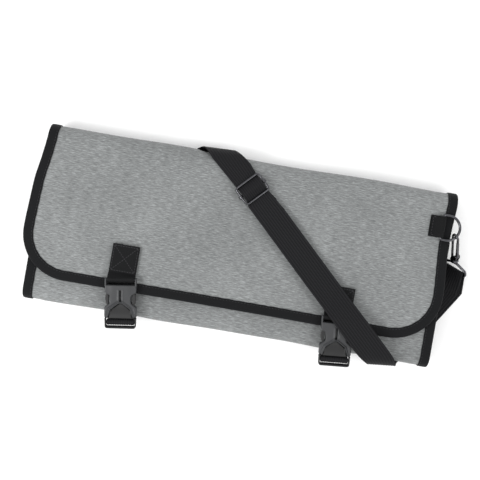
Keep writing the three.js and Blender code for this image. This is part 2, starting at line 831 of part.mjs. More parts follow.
// Guides of the outer layer from the slider's lower side to the bottom and round to the floor, in a frame whose x axis
// crosses the bend and whose y axis lies along it. It passes over the buckle's tab and the side of its socket.
function bottomGuides(start, frame) {
  const bendRound = 15;
  const shoulderRound = 9;
  const dip = 90;
  const beforeTab = 8;
  const floorRun = 34;
  const crossing = (x, y) => vec(x, y, 0).sub(frame.origin).dot(frame.x);
  const highest = buckleTopHeight + gap + strapThickness / 2 + layer;
  const tabHeight = flapEndTop + 3 * layer + 2 * gap + strapThickness / 2;
  const overTab = crossing(buckles[1].x - 0.7 * tabWidth, tabTopY(buckles[1]) + beforeTab);
  const overSocket = crossing(buckles[1].x + armSlot, -buckleTop - slotEnd / 2);
  const crest = crossing(bottomTurnX, bottomTurnY) - strapThickness / 2;
  return [
    { x: 0, y: start },
    { x: overTab, y: tabHeight + dip, r: dip, turn: 1 },
    { x: overSocket, y: highest - shoulderRound, r: shoulderRound, turn: -1 },
    { x: crest - bendRound, y: highest - bendRound, r: bendRound, turn: -1 },
    { x: crest - bendRound, y: floorLayer + bendRound, r: bendRound, turn: -1 },
    { x: crest - floorRun, y: floorLayer },
  ];
}

function bendFrame(origin, way, bendAngle) {
  const y = heading(bendAngle);
  const x = up.clone().cross(y).multiplyScalar(Math.sign(up.clone().cross(y).dot(way)));
  return { origin, x, y, z: up, drift: way.dot(y) / way.dot(x) };
}

function sliderLayers() {
  const outerExit = -1.45;
  const tailEnd = { x: sliderExit - 1, y: outerExit - 2 * layer };
  const bar = { x: 0, y: 0 };
  const sewn = belt([
    tailEnd,
    { ...railGuide, r: barRound + 2 * layer, turn: -1 },
    { ...bar, r: barRound, turn: -1 },
    { ...railGuide, r: barRound + layer, turn: 1 },
    { x: sliderExit, y: outerExit - layer },
  ]);
  const through = belt([
    { x: sliderExit, y: outerExit },
    { ...railGuide, turn: -1 },
    { ...bar, r: barRound + layer, turn: 1 },
    { ...railGuide, x: -railGuide.x, turn: -1 },
    { x: -sliderExit + 4, y: -3 },
  ]);
  return { sewn, through, outerExit };
}

// Webbing narrows where a slider or an eye pinches it
function pinched(stations, centre, near, narrow) {
  return stations.map((station) => {
    const away = station.at.distanceTo(centre);
    const width = narrow + (strapWidth - narrow) * smoothstep((away - near) / near);
    return { ...station, width: Math.min(station.width, width) };
  });
}

function frontToRear(offset) {
  const exit = place(sliderFrame, sliderExit, 0, 0);
  const frame = bendFrame(vec(exit.x, exit.y, 0), frontWay, bottomBendAngle);
  const outerStart = sliderHeight + sliderLayers().outerExit;
  const guides = bottomGuides(outerStart, frame);
  return layBelt(belt(offset ? innerLayer(guides) : guides), frame, { drift: frame.drift, climb: bottomClimb });
}

const innerRun = frontToRear(true);
const outerRun = frontToRear(false);

// A snap hook's frame: its origin at the ring's wire, y down to the eye, x across the bow, z out of the bow's plane
function hookFrame(grip, eye, ringAlong) {
  const y = eye.clone().sub(grip).normalize();
  const z = ringAlong.clone().addScaledVector(y, -ringAlong.dot(y)).normalize();
  return { origin: grip, x: y.clone().cross(z), y, z };
}

// The front eye hangs beside the bag's end, as far below the ring as the hook lets it
function hangingEye(grip) {
  const x = bagWidth / 2 + eyeStandOff;
  const reach = Math.sqrt(hookLength ** 2 - (x - grip.x) ** 2 - (grip.z - eyeHeight) ** 2);
  return vec(x, grip.y - reach, eyeHeight);
}

const frontEye = hangingEye(frontGrip);
const frontHook = hookFrame(frontGrip, frontEye, heading(50));
const eyeWay = heading(eyeWayAngle);

// The eye's bar lies at its angle from above and tilts until it is square to the hook
const levelBar = heading(eyeBarAngle + 180);
const frontBarWay = levelBar.clone().addScaledVector(up, -levelBar.dot(frontHook.y) / frontHook.y.z).normalize();

const topExit = place(sliderFrame, -sliderExit + 4, 0, 0);
const topFrame = bendFrame(vec(topExit.x, topExit.y, 0), frontWay.clone().negate(), topBendAngle);
const topRun = layBelt(belt(topGuides()), topFrame, { drift: topFrame.drift, climb: topClimb });
const topEnd = topRun[topRun.length - 1].at;
const rearWay = vec(rearGrip.x - topEnd.x, rearGrip.y - topEnd.y, 0).normalize();

function topGuides() {
  const start = sliderHeight - 3;
  const highest = flapTop + gap + strapThickness / 2;
  const bendRound = (highest - floorLayer) / 2;
  const crest = (topFoldY + topStandOff - strapThickness / 2 - topExit.y) * Math.cos(topBendAngle * degree);
  return [
    { x: 0, y: start },
    { x: crest - bendRound, y: floorLayer + bendRound, r: bendRound, turn: -1 },
    { x: crest - bendRound - 12, y: floorLayer },
  ];
}

const rearBarHeight = floorLayer + eyeWire + gap + strapThickness / 2 + 0.8;
const rearEye = vec(rearGrip.x, rearGrip.y, rearBarHeight).addScaledVector(rearWay, -rearHookLength);
const rearBarWay = up.clone().cross(rearWay);
const rearHook = hookFrame(rearGrip, rearEye, rearBarWay);

const eyeRound = eyeWire + gap + strapThickness / 2;

// Webbing that comes along the floor, turns round an eye's bar and goes back
function roundEye(eye, way, barWay, arrive, leave, turn) {
  const x = way.clone().addScaledVector(barWay, -way.dot(barWay)).normalize();
  const frame = { origin: eye, x, y: barWay, z: x.clone().cross(barWay) };
  const local = (point) => ({ x: point.clone().sub(eye).dot(frame.x), y: point.clone().sub(eye).dot(frame.z) });
  const stations = layBelt(belt([local(arrive), { x: 0, y: 0, r: eyeRound, turn }, local(leave)]), frame);
  return stations.slice(1, -1);
}

function shoulderStrap() {
  const { sewn, through } = sliderLayers();
  const rise = 27;
  const approach = (way, eye, height, away, aside = 0) => {
    const across = up.clone().cross(way);
    const target = eye.clone().addScaledVector(way, -away).addScaledVector(across, aside);
    return { at: vec(target.x, target.y, height), across, width: strapWidth };
  };
  const innerArrive = approach(eyeWay, frontEye, floorLayer + layer, rise, layersPart / 2);
  const outerLeave = approach(eyeWay, frontEye, floorLayer, rise - 4, -layersPart / 2);
  const rearArrive = approach(rearWay, rearEye, floorLayer, rise);
  const rearLeave = approach(rearWay, rearEye, floorLayer + layer, rise - 1);
  const narrow = strapWidth - 2.8;
  // The ways across at the front eye are turned so that the webbing isn't twisted between it and the bottom fold
  const flip = (station) => ({ ...station, across: station.across.clone().negate() });
  const sewnLoop = pinched(layBelt(sewn, sliderFrame), sliderFrame.origin, 9, sliderAcross - 6.4);
  const betweenRails = sliderAcross - 2 * sliderWire - 4 * gap;
  const threaded = pinched(layBelt(through, sliderFrame), sliderFrame.origin, 14, betweenRails);
  const frontLoop = roundEye(frontEye, eyeWay, frontBarWay, innerArrive.at, outerLeave.at, -1);
  const rearLoop = roundEye(rearEye, rearWay, rearBarWay, rearArrive.at, rearLeave.at, 1);
  return webbing([
    ...sewnLoop.slice(0, -1),
    ...innerRun,
    flip(innerArrive),
    ...pinched(frontLoop.map(flip), frontEye, 4, narrow),
    flip(outerLeave),
    ...outerRun.slice().reverse(),
    ...threaded.slice(1, -1),
    ...topRun.slice(1),
    rearArrive,
    ...pinched(rearLoop, rearEye, 4, narrow),
    rearLeave,
  ]);
}

// Hooks

const collarAt = 30;
const collarLength = 4;
const stemRadius = 1.5;
const gatePivotAt = 24.5;
const spineAt = -bowRadius;
const gripInBow = bowRadius - hookWire - ringWire - gap;

// The eye that the strap goes round: a stem, and a wire loop that widens to a straight bar at its end
function eyeLoop(frame, barWay, length) {
  const z = barWay.clone().cross(frame.y).normalize();
  const flat = { origin: frame.origin, x: barWay, y: z.clone().cross(barWay), z };
  const top = collarAt + collarLength + eyeWire + 1;
  const half = eyeAcross / 2;
  const loop = roundedPath([
    { x: -4, y: top, r: 2 },
    { x: 4, y: top, r: 2 },
    { x: half, y: length - 6, r: 3 },
    { x: half, y: length, r: 1.8 },
    { x: -half, y: length, r: 1.8 },
    { x: -half, y: length - 6, r: 3 },
  ], true, 30);
  return { flat, top, geometry: wire(loop, flat, eyeWire, true) };
}

function hookEye(frame, barWay) {
  const { flat, top, geometry } = eyeLoop(frame, barWay, frontGrip.distanceTo(frontEye));
  const headAt = collarAt - gap;
  const stem = turned([
    { r: 0.01, y: headAt - 1.6 },
    { r: 2, y: headAt - 1.2 },
    { r: 2.3, y: headAt },
    { r: stemRadius, y: headAt },
    { r: stemRadius, y: top },
    { r: 0.01, y: top + 0.3 },
  ], flat);
  return toGeometry(join([geometry, stem]));
}

// The bow and spine, the collar that the eye turns in, and the cheeks and pin that the gate turns on
function hookBody(frame) {
  const tipAt = gripInBow + 4.2;
  const path = roundedPath([
    { x: spineAt, y: collarAt + 1, r: 0 },
    { x: spineAt, y: gripInBow - bowRadius, r: bowRadius - 0.01 },
    { x: bowRadius, y: gripInBow - bowRadius, r: bowRadius - 0.01 },
    { x: bowRadius, y: tipAt, r: 0 },
  ], false, 22.5);
  const bow = wire(path, frame, hookWire, false);
  const collar = turned([
    { r: 0.01, y: collarAt },
    { r: 4.2, y: collarAt },
    { r: 4.8, y: collarAt + 0.8 },
    { r: 4.8, y: collarAt + collarLength - 0.8 },
    { r: 4.2, y: collarAt + collarLength },
    { r: 0.01, y: collarAt + collarLength },
  ], frame);
  const bore = turned([
    { r: 0.01, y: collarAt - 1 },
    { r: stemRadius + gap, y: collarAt - 1 },
    { r: stemRadius + gap, y: collarAt + collarLength + 1 },
    { r: 0.01, y: collarAt + collarLength + 1 },
  ], frame);
  const cheekOutline = roundedPath([
    { x: 2, y: collarAt + 1, r: 0 },
    { x: bowRadius - 1.8, y: gatePivotAt - 2, r: 1 },
    { x: bowRadius + 1.8, y: gatePivotAt - 2, r: 1.4 },
    { x: bowRadius + 1.8, y: gatePivotAt + 1.5, r: 1 },
    { x: 4, y: collarAt + 1, r: 0 },
  ], true, 30);
  const cheekIn = hookWire + gap;
  const cheeks = [-1, 1].map((side) => {
    const faces = [side * cheekIn, side * (cheekIn + 1)];
    return plate(cheekOutline, [], Math.min(...faces), Math.max(...faces), frame);
  });
  const pin = plate(circle(bowRadius, gatePivotAt, gatePinRadius, 12), [], -cheekIn - 0.8, cheekIn + 0.8, frame);
  return toGeometry(join([bow, collar, ...cheeks, pin]).subtract(toManifold(bore)));
}

// The sprung gate, from its pin to the bow's tip
function hookGate(frame) {
  const tipAt = gripInBow + 4.2 + gap;
  const half = 1.2;
  const outline = [
    ...Array.from({ length: 9 }, (_, i) => ({
      x: bowRadius + 1.9 * Math.cos((Math.PI * i) / 8),
      y: gatePivotAt + 1.9 * Math.sin((Math.PI * i) / 8),
    })),
    { x: bowRadius - half, y: tipAt },
    { x: bowRadius + half, y: tipAt },
  ];
  const hole = circle(bowRadius, gatePivotAt, gatePinRadius + gap, 12);
  return plate(outline, [hole], -hookWire, hookWire, frame);
}

// The hidden hook at the back: a closed link through the ring, a collar and an eye in one
function plainHook(frame, barWay) {
  const link = roundedPath([
    { x: -3, y: -3, r: 2.9 },
    { x: 3, y: -3, r: 2.9 },
    { x: 3, y: rearLinkLength, r: 2.9 },
    { x: -3, y: rearLinkLength, r: 2.9 },
  ], true, 30);
  const { flat, top, geometry } = eyeLoop(frame, barWay, rearGrip.distanceTo(rearEye));
  const stem = turned([
    { r: 0.01, y: rearLinkLength - 1.4 },
    { r: 2.4, y: rearLinkLength - 1 },
    { r: 2.4, y: top },
    { r: 0.01, y: top + 0.3 },
  ], flat);
  return toGeometry(join([wire(link, frame, 1.2, true), geometry, stem]));
}

// The whole

addMesh("case_panel", casePanel(), grey);
addMesh("edge_binding", edgeBinding(), tapeBlack);
buckles.forEach((buckle) => {
  const frame = buckleFrame(buckle);
  addMesh(`${buckle.side}_buckle_tab`, buckleTab(buckle, frame), webbingBlack);
  addMesh(`${buckle.side}_buckle_socket`, buckleSocket(frame), plasticBlack);
  addMesh(`${buckle.side}_buckle_plug`, bucklePlug(frame), plasticBlack);
  addMesh(`${buckle.side}_buckle_strap`, buckleStrap(buckle, frame), webbingBlack);
});
addMesh("shoulder_strap", shoulderStrap(), webbingBlack);
addMesh("slider_frame", wire(roundedPath(sliderOutline(), true, 30), sliderFrame, sliderWire, true), darkNickel);
addMesh("slider_bar", sliderBar(), darkNickel);
addMesh("front_ring_tab", ringTab(frontRing, flapEndTop, -1), webbingBlack);
addMesh("front_ring", wire(ringPath(), frontRing, ringWire, true), darkNickel);
addMesh("front_hook", hookBody(frontHook), darkNickel);
addMesh("front_hook_gate", hookGate(frontHook), darkNickel);
addMesh("front_hook_eye", hookEye(frontHook, frontBarWay), darkNickel);
addMesh("rear_ring_tab", ringTab(rearRing, backUnderside, 1), webbingBlack);
addMesh("rear_ring", wire(ringPath(), rearRing, ringWire, true), darkNickel);
addMesh("rear_hook", plainHook(rearHook, rearBarWay), darkNickel);

// The origin goes below the middle of the whole, on the surface that it lies on
const box = new THREE.Box3().setFromObject(group);
group.position.set(-(box.min.x + box.max.x) / 2, -(box.min.y + box.max.y) / 2, -box.min.z);
group.updateMatrixWorld(true);

export default group;
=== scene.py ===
import math

import bpy
import numpy as np
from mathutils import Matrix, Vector


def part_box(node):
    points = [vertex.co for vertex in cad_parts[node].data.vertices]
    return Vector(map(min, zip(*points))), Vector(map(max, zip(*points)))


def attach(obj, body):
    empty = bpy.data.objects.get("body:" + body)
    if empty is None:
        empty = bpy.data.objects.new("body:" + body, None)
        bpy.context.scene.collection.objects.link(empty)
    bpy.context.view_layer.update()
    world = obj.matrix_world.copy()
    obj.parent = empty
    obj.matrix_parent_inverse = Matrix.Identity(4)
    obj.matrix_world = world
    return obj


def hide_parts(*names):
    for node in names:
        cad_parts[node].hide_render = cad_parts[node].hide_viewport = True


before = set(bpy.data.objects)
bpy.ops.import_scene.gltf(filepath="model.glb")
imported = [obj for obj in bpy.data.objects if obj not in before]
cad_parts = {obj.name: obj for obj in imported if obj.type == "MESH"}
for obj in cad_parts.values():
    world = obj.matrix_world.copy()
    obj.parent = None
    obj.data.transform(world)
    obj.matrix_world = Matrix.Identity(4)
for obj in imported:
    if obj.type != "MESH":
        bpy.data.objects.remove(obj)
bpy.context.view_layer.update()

# All sizes are in millimetres in the roll's own frame, as it was drawn: X along the folds, Y up to the
# top fold and Z up from the floor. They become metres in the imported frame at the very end, in addPiece.

roll = {
    "length": 452, "depth": 192, "wall": 4, "hollow": 15,
    "innerReach": 140, "innerCorner": 16,
    "flapReach": 150.6, "flapCorner": 50, "flapShift": 4.4, "flapFlare": 5.2,
    "endLift": 4.4, "sagHalf": 45, "sagRamp": 60, "standOff": 4.6,
    "gap": 0.3, "tape": 0.8, "tapeWidth": 11,
}
webbing = {"width": 30, "thickness": 1.4, "tabWidth": 29.6, "ribPitch": 2.5, "ribDepth": 0.32}

gap = roll["gap"]
halfLength = roll["length"] / 2 - gap - roll["tape"]
bottomFold = -roll["depth"] / 2 + 1
topFold = bottomFold + roll["depth"]
strapThick = webbing["thickness"]
layer = strapThick + gap
proud = gap + roll["tape"]
backHeight = roll["standOff"] + roll["wall"] / 2
bottomRadius = (roll["hollow"] + roll["wall"]) / 2
topRadius = bottomRadius + (roll["wall"] + 2 * proud + gap) / 2
bottomCentre = bottomFold + bottomRadius + roll["wall"] / 2
topCentre = topFold - topRadius - roll["wall"] / 2
backLength = topCentre - bottomCentre
panelLength = roll["innerReach"] + math.pi * (bottomRadius + topRadius) + backLength + roll["flapReach"]
flapTop = backHeight + 2 * topRadius + roll["wall"] / 2
flapEndTop = flapTop + roll["endLift"]
backUnderside = backHeight - roll["wall"] / 2 + roll["endLift"]
degree = math.pi / 180
up = np.array([0.0, 0.0, 1.0])

caseLow, caseHigh = [np.array(corner) * 1000 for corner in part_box("case_panel")]
toPacked = np.array([
    (caseLow[0] + caseHigh[0]) / 2 + 0.85 * roll["flapShift"],
    caseLow[1] - bottomFold,
    0.0,
])


def vec(x, y, z):
    return np.array([x, y, z], dtype=float)


def runLength(points):  # how far along a line of points each of them is
    return np.concatenate([[0], np.cumsum(np.linalg.norm(np.diff(points, axis=0), axis=1))])


def unit(vectors):
    return vectors / np.linalg.norm(vectors, axis=-1, keepdims=True)


def heading(angle):  # a level direction at an angle from X
    return vec(math.cos(angle * degree), math.sin(angle * degree), 0)


def smooth(t):
    t = np.clip(t, 0, 1)
    return t * t * (3 - 2 * t)


def axes(origin, x, y, z):
    return {"origin": origin, "x": x, "y": y, "z": z}


def place(at, x, y, z):  # points so far along a frame's three axes
    x, y, z = np.broadcast_arrays(x, y, z)
    return at["origin"] + x[..., None] * at["x"] + y[..., None] * at["y"] + z[..., None] * at["z"]


# Meshes

def gridShell(points, closedRows=False, closedColumns=True, caps=True, uv=None):
    # Quads between the rows and columns of a grid of points. Its open ends are closed by one face each.
    rows, columns = points.shape[:2]
    index = np.arange(rows * columns).reshape(rows, columns)
    ends = []
    if caps and not closedRows:
        ends = [index[0][::-1].tolist(), index[-1].tolist()]
    if closedRows:
        index = np.vstack([index, index[:1]])
    if closedColumns:
        index = np.hstack([index, index[:, :1]])
    corners = [index[:-1, :-1], index[:-1, 1:], index[1:, 1:], index[1:, :-1]]
    quads = np.stack(corners, axis=-1).reshape(-1, 4)
    flat = points.reshape(-1, 3)
    if uv is None:
        cornerUv = np.zeros((len(quads) * 4, 2))
    else:
        uvCorners = [uv[:-1, :-1], uv[:-1, 1:], uv[1:, 1:], uv[1:, :-1]]
        cornerUv = np.stack(uvCorners, axis=-2).reshape(-1, 2)
    a, b, c, d = (flat[quads[:, i]] for i in range(4))
    volume = np.einsum("ij,ij->", a, np.cross(b, c)) + np.einsum("ij,ij->", a, np.cross(c, d))
    if volume < 0:
        quads = quads[:, ::-1]
        cornerUv = cornerUv.reshape(-1, 4, 2)[:, ::-1].reshape(-1, 2)
        ends = [end[::-1] for end in ends]
    return {"points": flat, "quads": quads, "ends": ends, "uv": cornerUv}


def bareShell(points, quads, ends=()):  # a shell whose material needs no layout
    return {"points": points, "quads": quads, "ends": list(ends), "uv": np.zeros((len(quads) * 4, 2))}


def joined(shells):
    shift = 0
    points, quads, ends, uv = [], [], [], []
    for shell in shells:
        points.append(shell["points"])
        quads.append(shell["quads"] + shift)
        ends += [[i + shift for i in end] for end in shell["ends"]]
        uv.append(shell["uv"])
        shift += len(shell["points"])
    return {"points": np.vstack(points), "quads": np.vstack(quads), "ends": ends, "uv": np.vstack(uv)}


def addPiece(name, shells, material, replaces=(), sharp=40, body="bag"):
    shell = joined(shells) if isinstance(shells, list) else shells
    mesh = bpy.data.meshes.new(name)
    faces = shell["quads"].tolist() + shell["ends"]
    mesh.from_pydata(((shell["points"] + toPacked) / 1000).tolist(), [], faces)
    layerUv = mesh.uv_layers.new(name="cloth")
    cornerUv = np.zeros((len(mesh.loops), 2), dtype=np.float32)
    cornerUv[:len(shell["uv"])] = shell["uv"] / 1000
    layerUv.data.foreach_set("uv", cornerUv.ravel())
    mesh.polygons.foreach_set("use_smooth", np.ones(len(mesh.polygons), dtype=bool))
    mesh.set_sharp_from_angle(angle=math.radians(sharp))
    mesh.materials.append(material)
    piece = bpy.data.objects.new(name, mesh)
    bpy.context.scene.collection.objects.link(piece)
    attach(piece, body)
    for node in replaces:
        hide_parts(node)
    return piece


def roundedPath(corners, closed, stepAngle=8):
    # A path through corners (x, y, r), each rounded by its own radius
    points = []
    count = len(corners)
    for i, (cornerX, cornerY, r) in enumerate(corners):
        isEnd = not closed and i in (0, count - 1)
        if isEnd or not r:
            points.append((cornerX, cornerY))
            continue
        before = corners[(i + count - 1) % count]
        after = corners[(i + 1) % count]
        inward = math.atan2(cornerY - before[1], cornerX - before[0])
        outward = math.atan2(after[1] - cornerY, after[0] - cornerX)
        turn = math.atan2(math.sin(outward - inward), math.cos(outward - inward))
        side = math.copysign(1, turn)
        setBack = r * math.tan(abs(turn) / 2)
        centreX = cornerX - setBack * math.cos(inward) - side * r * math.sin(inward)
        centreY = cornerY - setBack * math.sin(inward) + side * r * math.cos(inward)
        steps = max(1, math.ceil(abs(turn) / (stepAngle * degree)))
        for angle in inward + turn * np.arange(steps + 1) / steps:
            points.append((centreX + side * r * math.sin(angle), centreY - side * r * math.cos(angle)))
    return np.array(points)


def rectangle(half, low, high, r, stepAngle):  # a closed path with rounded corners, half as wide as half says
    corners = [(-half, low, r), (half, low, r), (half, high, r), (-half, high, r)]
    return roundedPath(corners, True, stepAngle)


def wire(path, at, radius, closed=False, sides=16, flatten=1):
    # A round section carried along a flat path in a frame's x and y
    before = np.roll(path, 1, axis=0)
    after = np.roll(path, -1, axis=0)
    if not closed:
        before[0], after[-1] = path[0], path[-1]
    along = unit(after - before)
    angle = 2 * np.pi * (np.arange(sides) + 0.5) / sides
    reach = radius * np.cos(angle)
    x = path[:, :1] + along[:, 1:] * reach
    y = path[:, 1:] - along[:, :1] * reach
    z = np.broadcast_to(radius * flatten * np.sin(angle), x.shape)
    return gridShell(place(at, x, y, z), closedRows=closed)


def turned(profile, at, sides=32):
    # A profile of (radius, height) turned round a frame's y axis
    profile = np.array(profile, dtype=float)
    angle = 2 * np.pi * np.arange(sides) / sides
    x = profile[:, :1] * np.cos(angle)
    z = profile[:, :1] * np.sin(angle)
    y = np.broadcast_to(profile[:, 1:], x.shape)
    return gridShell(place(at, x, y, z))


def toLines(x, y, starts, ends):  # each point's distance to the nearest of some straight lines
    reach = ends - starts
    awayX, awayY = x[..., None] - starts[:, 0], y[..., None] - starts[:, 1]
    t = np.clip((awayX * reach[:, 0] + awayY * reach[:, 1]) / (reach ** 2).sum(axis=1), 0, 1)
    return np.hypot(awayX - t * reach[:, 0], awayY - t * reach[:, 1]).min(axis=-1)


def insideDistance(x, y, outline):
    # How far each point lies inside a closed outline, and less than zero outside it
    a = np.asarray(outline, dtype=float)
    b = np.roll(a, -1, axis=0)
    edge = b - a
    px, py = x[..., None], y[..., None]
    spans = (a[:, 1] > py) != (b[:, 1] > py)
    rise = np.where(np.abs(edge[:, 1]) < 1e-12, 1e-12, edge[:, 1])
    left = px < edge[:, 0] * (py - a[:, 1]) / rise + a[:, 0]
    inside = (spans & left).sum(axis=-1) % 2 == 1
    distance = toLines(x, y, a, b)
    return np.where(inside, distance, -distance)


def mirrored(right):  # a whole outline from its right half, given as corners (x, y, r)
    return right + [(-x, y, r) for x, y, r in right[::-1]]


def levelAt(height, x, y):  # a plain height, or what a formula gives at each point
    return height(x, y) if callable(height) else height


def mouldedPlate(at, insideOf, reach, top, bottom, radius, cell=0.4):
    # A plate whose outline is where insideOf(x, y) is zero. Near the outline its top and bottom both fall
    # in a quarter round of the radius. Grid points by the outline are drawn onto it.
    lowX, highX, lowY, highY = reach
    x, y = np.meshgrid(
        np.linspace(lowX, highX, round((highX - lowX) / cell) + 1),
        np.linspace(lowY, highY, round((highY - lowY) / cell) + 1), indexing="ij")
    inside = insideOf(x, y)
    step = 0.02
    slopeX = (insideOf(x + step, y) - insideOf(x - step, y)) / (2 * step)
    slopeY = (insideOf(x, y + step) - insideOf(x, y - step)) / (2 * step)
    near = np.abs(inside) < 0.7 * cell
    x = np.where(near, x - inside * slopeX, x)
    y = np.where(near, y - inside * slopeY, y)
    inside = np.where(near, 0, inside)
    kept = inside >= 0
    cells = kept[:-1, :-1] & kept[1:, :-1] & kept[1:, 1:] & kept[:-1, 1:]
    fall = radius - np.sqrt(radius ** 2 - (radius - np.clip(inside, 0, radius)) ** 2)
    top = levelAt(top, x, y) - fall
    bottom = levelAt(bottom, x, y) + fall
    index = np.arange(x.size).reshape(x.shape)
    corners = [index[:-1, :-1], index[1:, :-1], index[1:, 1:], index[:-1, 1:]]
    upper = np.stack([corner[cells] for corner in corners], axis=-1)
    edges = np.stack([upper, np.roll(upper, -1, axis=1)], axis=-1).reshape(-1, 2)
    names = np.sort(edges, axis=1)
    names = names[:, 0] * x.size + names[:, 1]
    _, first, counts = np.unique(names, return_index=True, return_counts=True)
    rim = edges[first[counts == 1]]
    lower = upper[:, ::-1] + x.size
    walls = np.stack([rim[:, 1], rim[:, 0], rim[:, 0] + x.size, rim[:, 1] + x.size], axis=-1)
    quads = np.vstack([upper, lower, walls])
    points = np.concatenate([place(at, x, y, top).reshape(-1, 3), place(at, x, y, bottom).reshape(-1, 3)])
    used, quads = np.unique(quads, return_inverse=True)
    quads = quads.reshape(-1, 4)
    points = points[used]
    if np.dot(np.cross(at["x"], at["y"]), at["z"]) < 0:
        quads = quads[:, ::-1]
    return bareShell(points, quads)


# Materials

def rgb(hexText):  # an sRGB colour as linear light
    values = [int(hexText[i:i + 2], 16) / 255 for i in (1, 3, 5)]
    linear = [v / 12.92 if v <= 0.04045 else ((v + 0.055) / 1.055) ** 2.4 for v in values]
    return (*linear, 1)


def addNode(tree, kind, settings=None, inputs=None, links=None):
    node = tree.nodes.new(kind)
    for key, value in (settings or {}).items():
        setattr(node, key, value)
    for key, value in (inputs or {}).items():
        node.inputs[key].default_value = value
    for key, socket in (links or {}).items():
        tree.links.new(socket, node.inputs[key])
    return node


def newMaterial(name, inputs):
    material = bpy.data.materials.new(name)
    material.use_nodes = True
    tree = material.node_tree
    shader = tree.nodes["Principled BSDF"]
    for key, value in inputs.items():
        shader.inputs[key].default_value = value
    return material, tree, shader


def ramp(tree, shader, factor, stops):  # the colour at each level of a factor
    node = addNode(tree, "ShaderNodeValToRGB", links={"Fac": factor})
    elements = node.color_ramp.elements
    while len(elements) < len(stops):
        elements.new(0.5)
    for element, (position, hexText) in zip(elements, stops):
        element.position = position
        element.color = rgb(hexText)
    tree.links.new(node.outputs["Color"], shader.inputs["Base Color"])


def combined(tree, operation, *terms):  # a sum or product of sockets and plain numbers
    node = addNode(tree, "ShaderNodeMath", {"operation": operation})
    for term, socket in zip(terms, node.inputs):
        if isinstance(term, float):
            socket.default_value = term
        else:
            tree.links.new(term, socket)
    return node.outputs["Value"]


def noise(tree, where, size, detail, roughness=0.5):  # clouds, their grain in millimetres along each axis
    scaled = addNode(tree, "ShaderNodeMapping", inputs={"Scale": [1000 / one for one in size]},
                     links={"Vector": where})
    inputs = {"Scale": 1.0, "Detail": detail, "Roughness": roughness}
    node = addNode(tree, "ShaderNodeTexNoise", inputs=inputs, links={"Vector": scaled.outputs["Vector"]})
    return node.outputs["Fac"]


def flatNoise(tree, where, long, high, detail, roughness=0.5):  # the same on a piece's flat layout
    return noise(tree, where, (long, high, 1000), detail, roughness)


def wave(tree, where, direction, pitch, distortion=0.0, detail=2.0, detailScale=1.0):
    # Bands a pitch apart, in millimetres. At a scale of one the texture's own bands are a tenth of pi apart.
    inputs = {"Scale": 100 * math.pi / pitch, "Distortion": distortion, "Detail": detail,
              "Detail Scale": detailScale}
    node = addNode(tree, "ShaderNodeTexWave", {"bands_direction": direction}, inputs, {"Vector": where})
    return node.outputs["Fac"]


def raised(tree, shader, height, strength, distance):  # fine relief, its distance in metres
    bump = addNode(tree, "ShaderNodeBump", inputs={"Strength": strength, "Distance": distance},
                   links={"Height": height})
    tree.links.new(bump.outputs["Normal"], shader.inputs["Normal"])


def clouded(tree, shader, clouds, low, high):  # a roughness that goes from low to high with the clouds
    inputs = {"From Min": 0.3, "From Max": 0.7, "To Min": low, "To Max": high}
    rough = addNode(tree, "ShaderNodeMapRange", inputs=inputs, links={"Value": clouds})
    tree.links.new(rough.outputs["Result"], shader.inputs["Roughness"])


# Heathered oxford: a plain weave of grey and pale yarn, whose weft shows as short streaks along the roll.
# The eye sees a soft matt grey that breaks up into fine level flecks, with the weave's small crowns over
# it. The yarn is 0.5 mm thick on the real cloth and drawn at 0.9 mm, as fine as the picture can show.
def heatheredOxford():
    values = {"dark": "#575959", "middle": "#747676", "pale": "#989b9b", "streakLong": 9.0,
              "streakHigh": 0.8, "fleckLong": 4.2, "fleckHigh": 0.65, "patch": 80.0, "patchShare": 0.3,
              "level": 0.435, "thread": 0.9, "relief": 0.35, "roughness": 0.9}
    material, tree, shader = newMaterial("heatheredOxfordCloth", {
        "Roughness": values["roughness"], "Specular IOR Level": 0.25, "Sheen Weight": 0.12,
        "Sheen Roughness": 0.5})
    where = addNode(tree, "ShaderNodeTexCoord").outputs["UV"]
    streaks = flatNoise(tree, where, values["streakLong"], values["streakHigh"], 2.0, 0.6)
    flecks = flatNoise(tree, where, values["fleckLong"], values["fleckHigh"], 3.0, 0.7)
    patches = flatNoise(tree, where, values["patch"], values["patch"], 2.0)
    yarns = combined(tree, "ADD", streaks, flecks)
    heather = combined(tree, "MULTIPLY_ADD", patches, values["patchShare"], yarns)
    level = combined(tree, "MULTIPLY", heather, values["level"])
    ramp(tree, shader, level, [(0.36, values["dark"]), (0.5, values["middle"]), (0.64, values["pale"])])
    warp = wave(tree, where, "X", values["thread"], 0.6, 1.0)
    weft = wave(tree, where, "Y", values["thread"], 0.6, 1.0)
    crowns = combined(tree, "MULTIPLY", warp, weft)
    raised(tree, shader, combined(tree, "ADD", crowns, flecks), values["relief"], 0.0002)
    return material


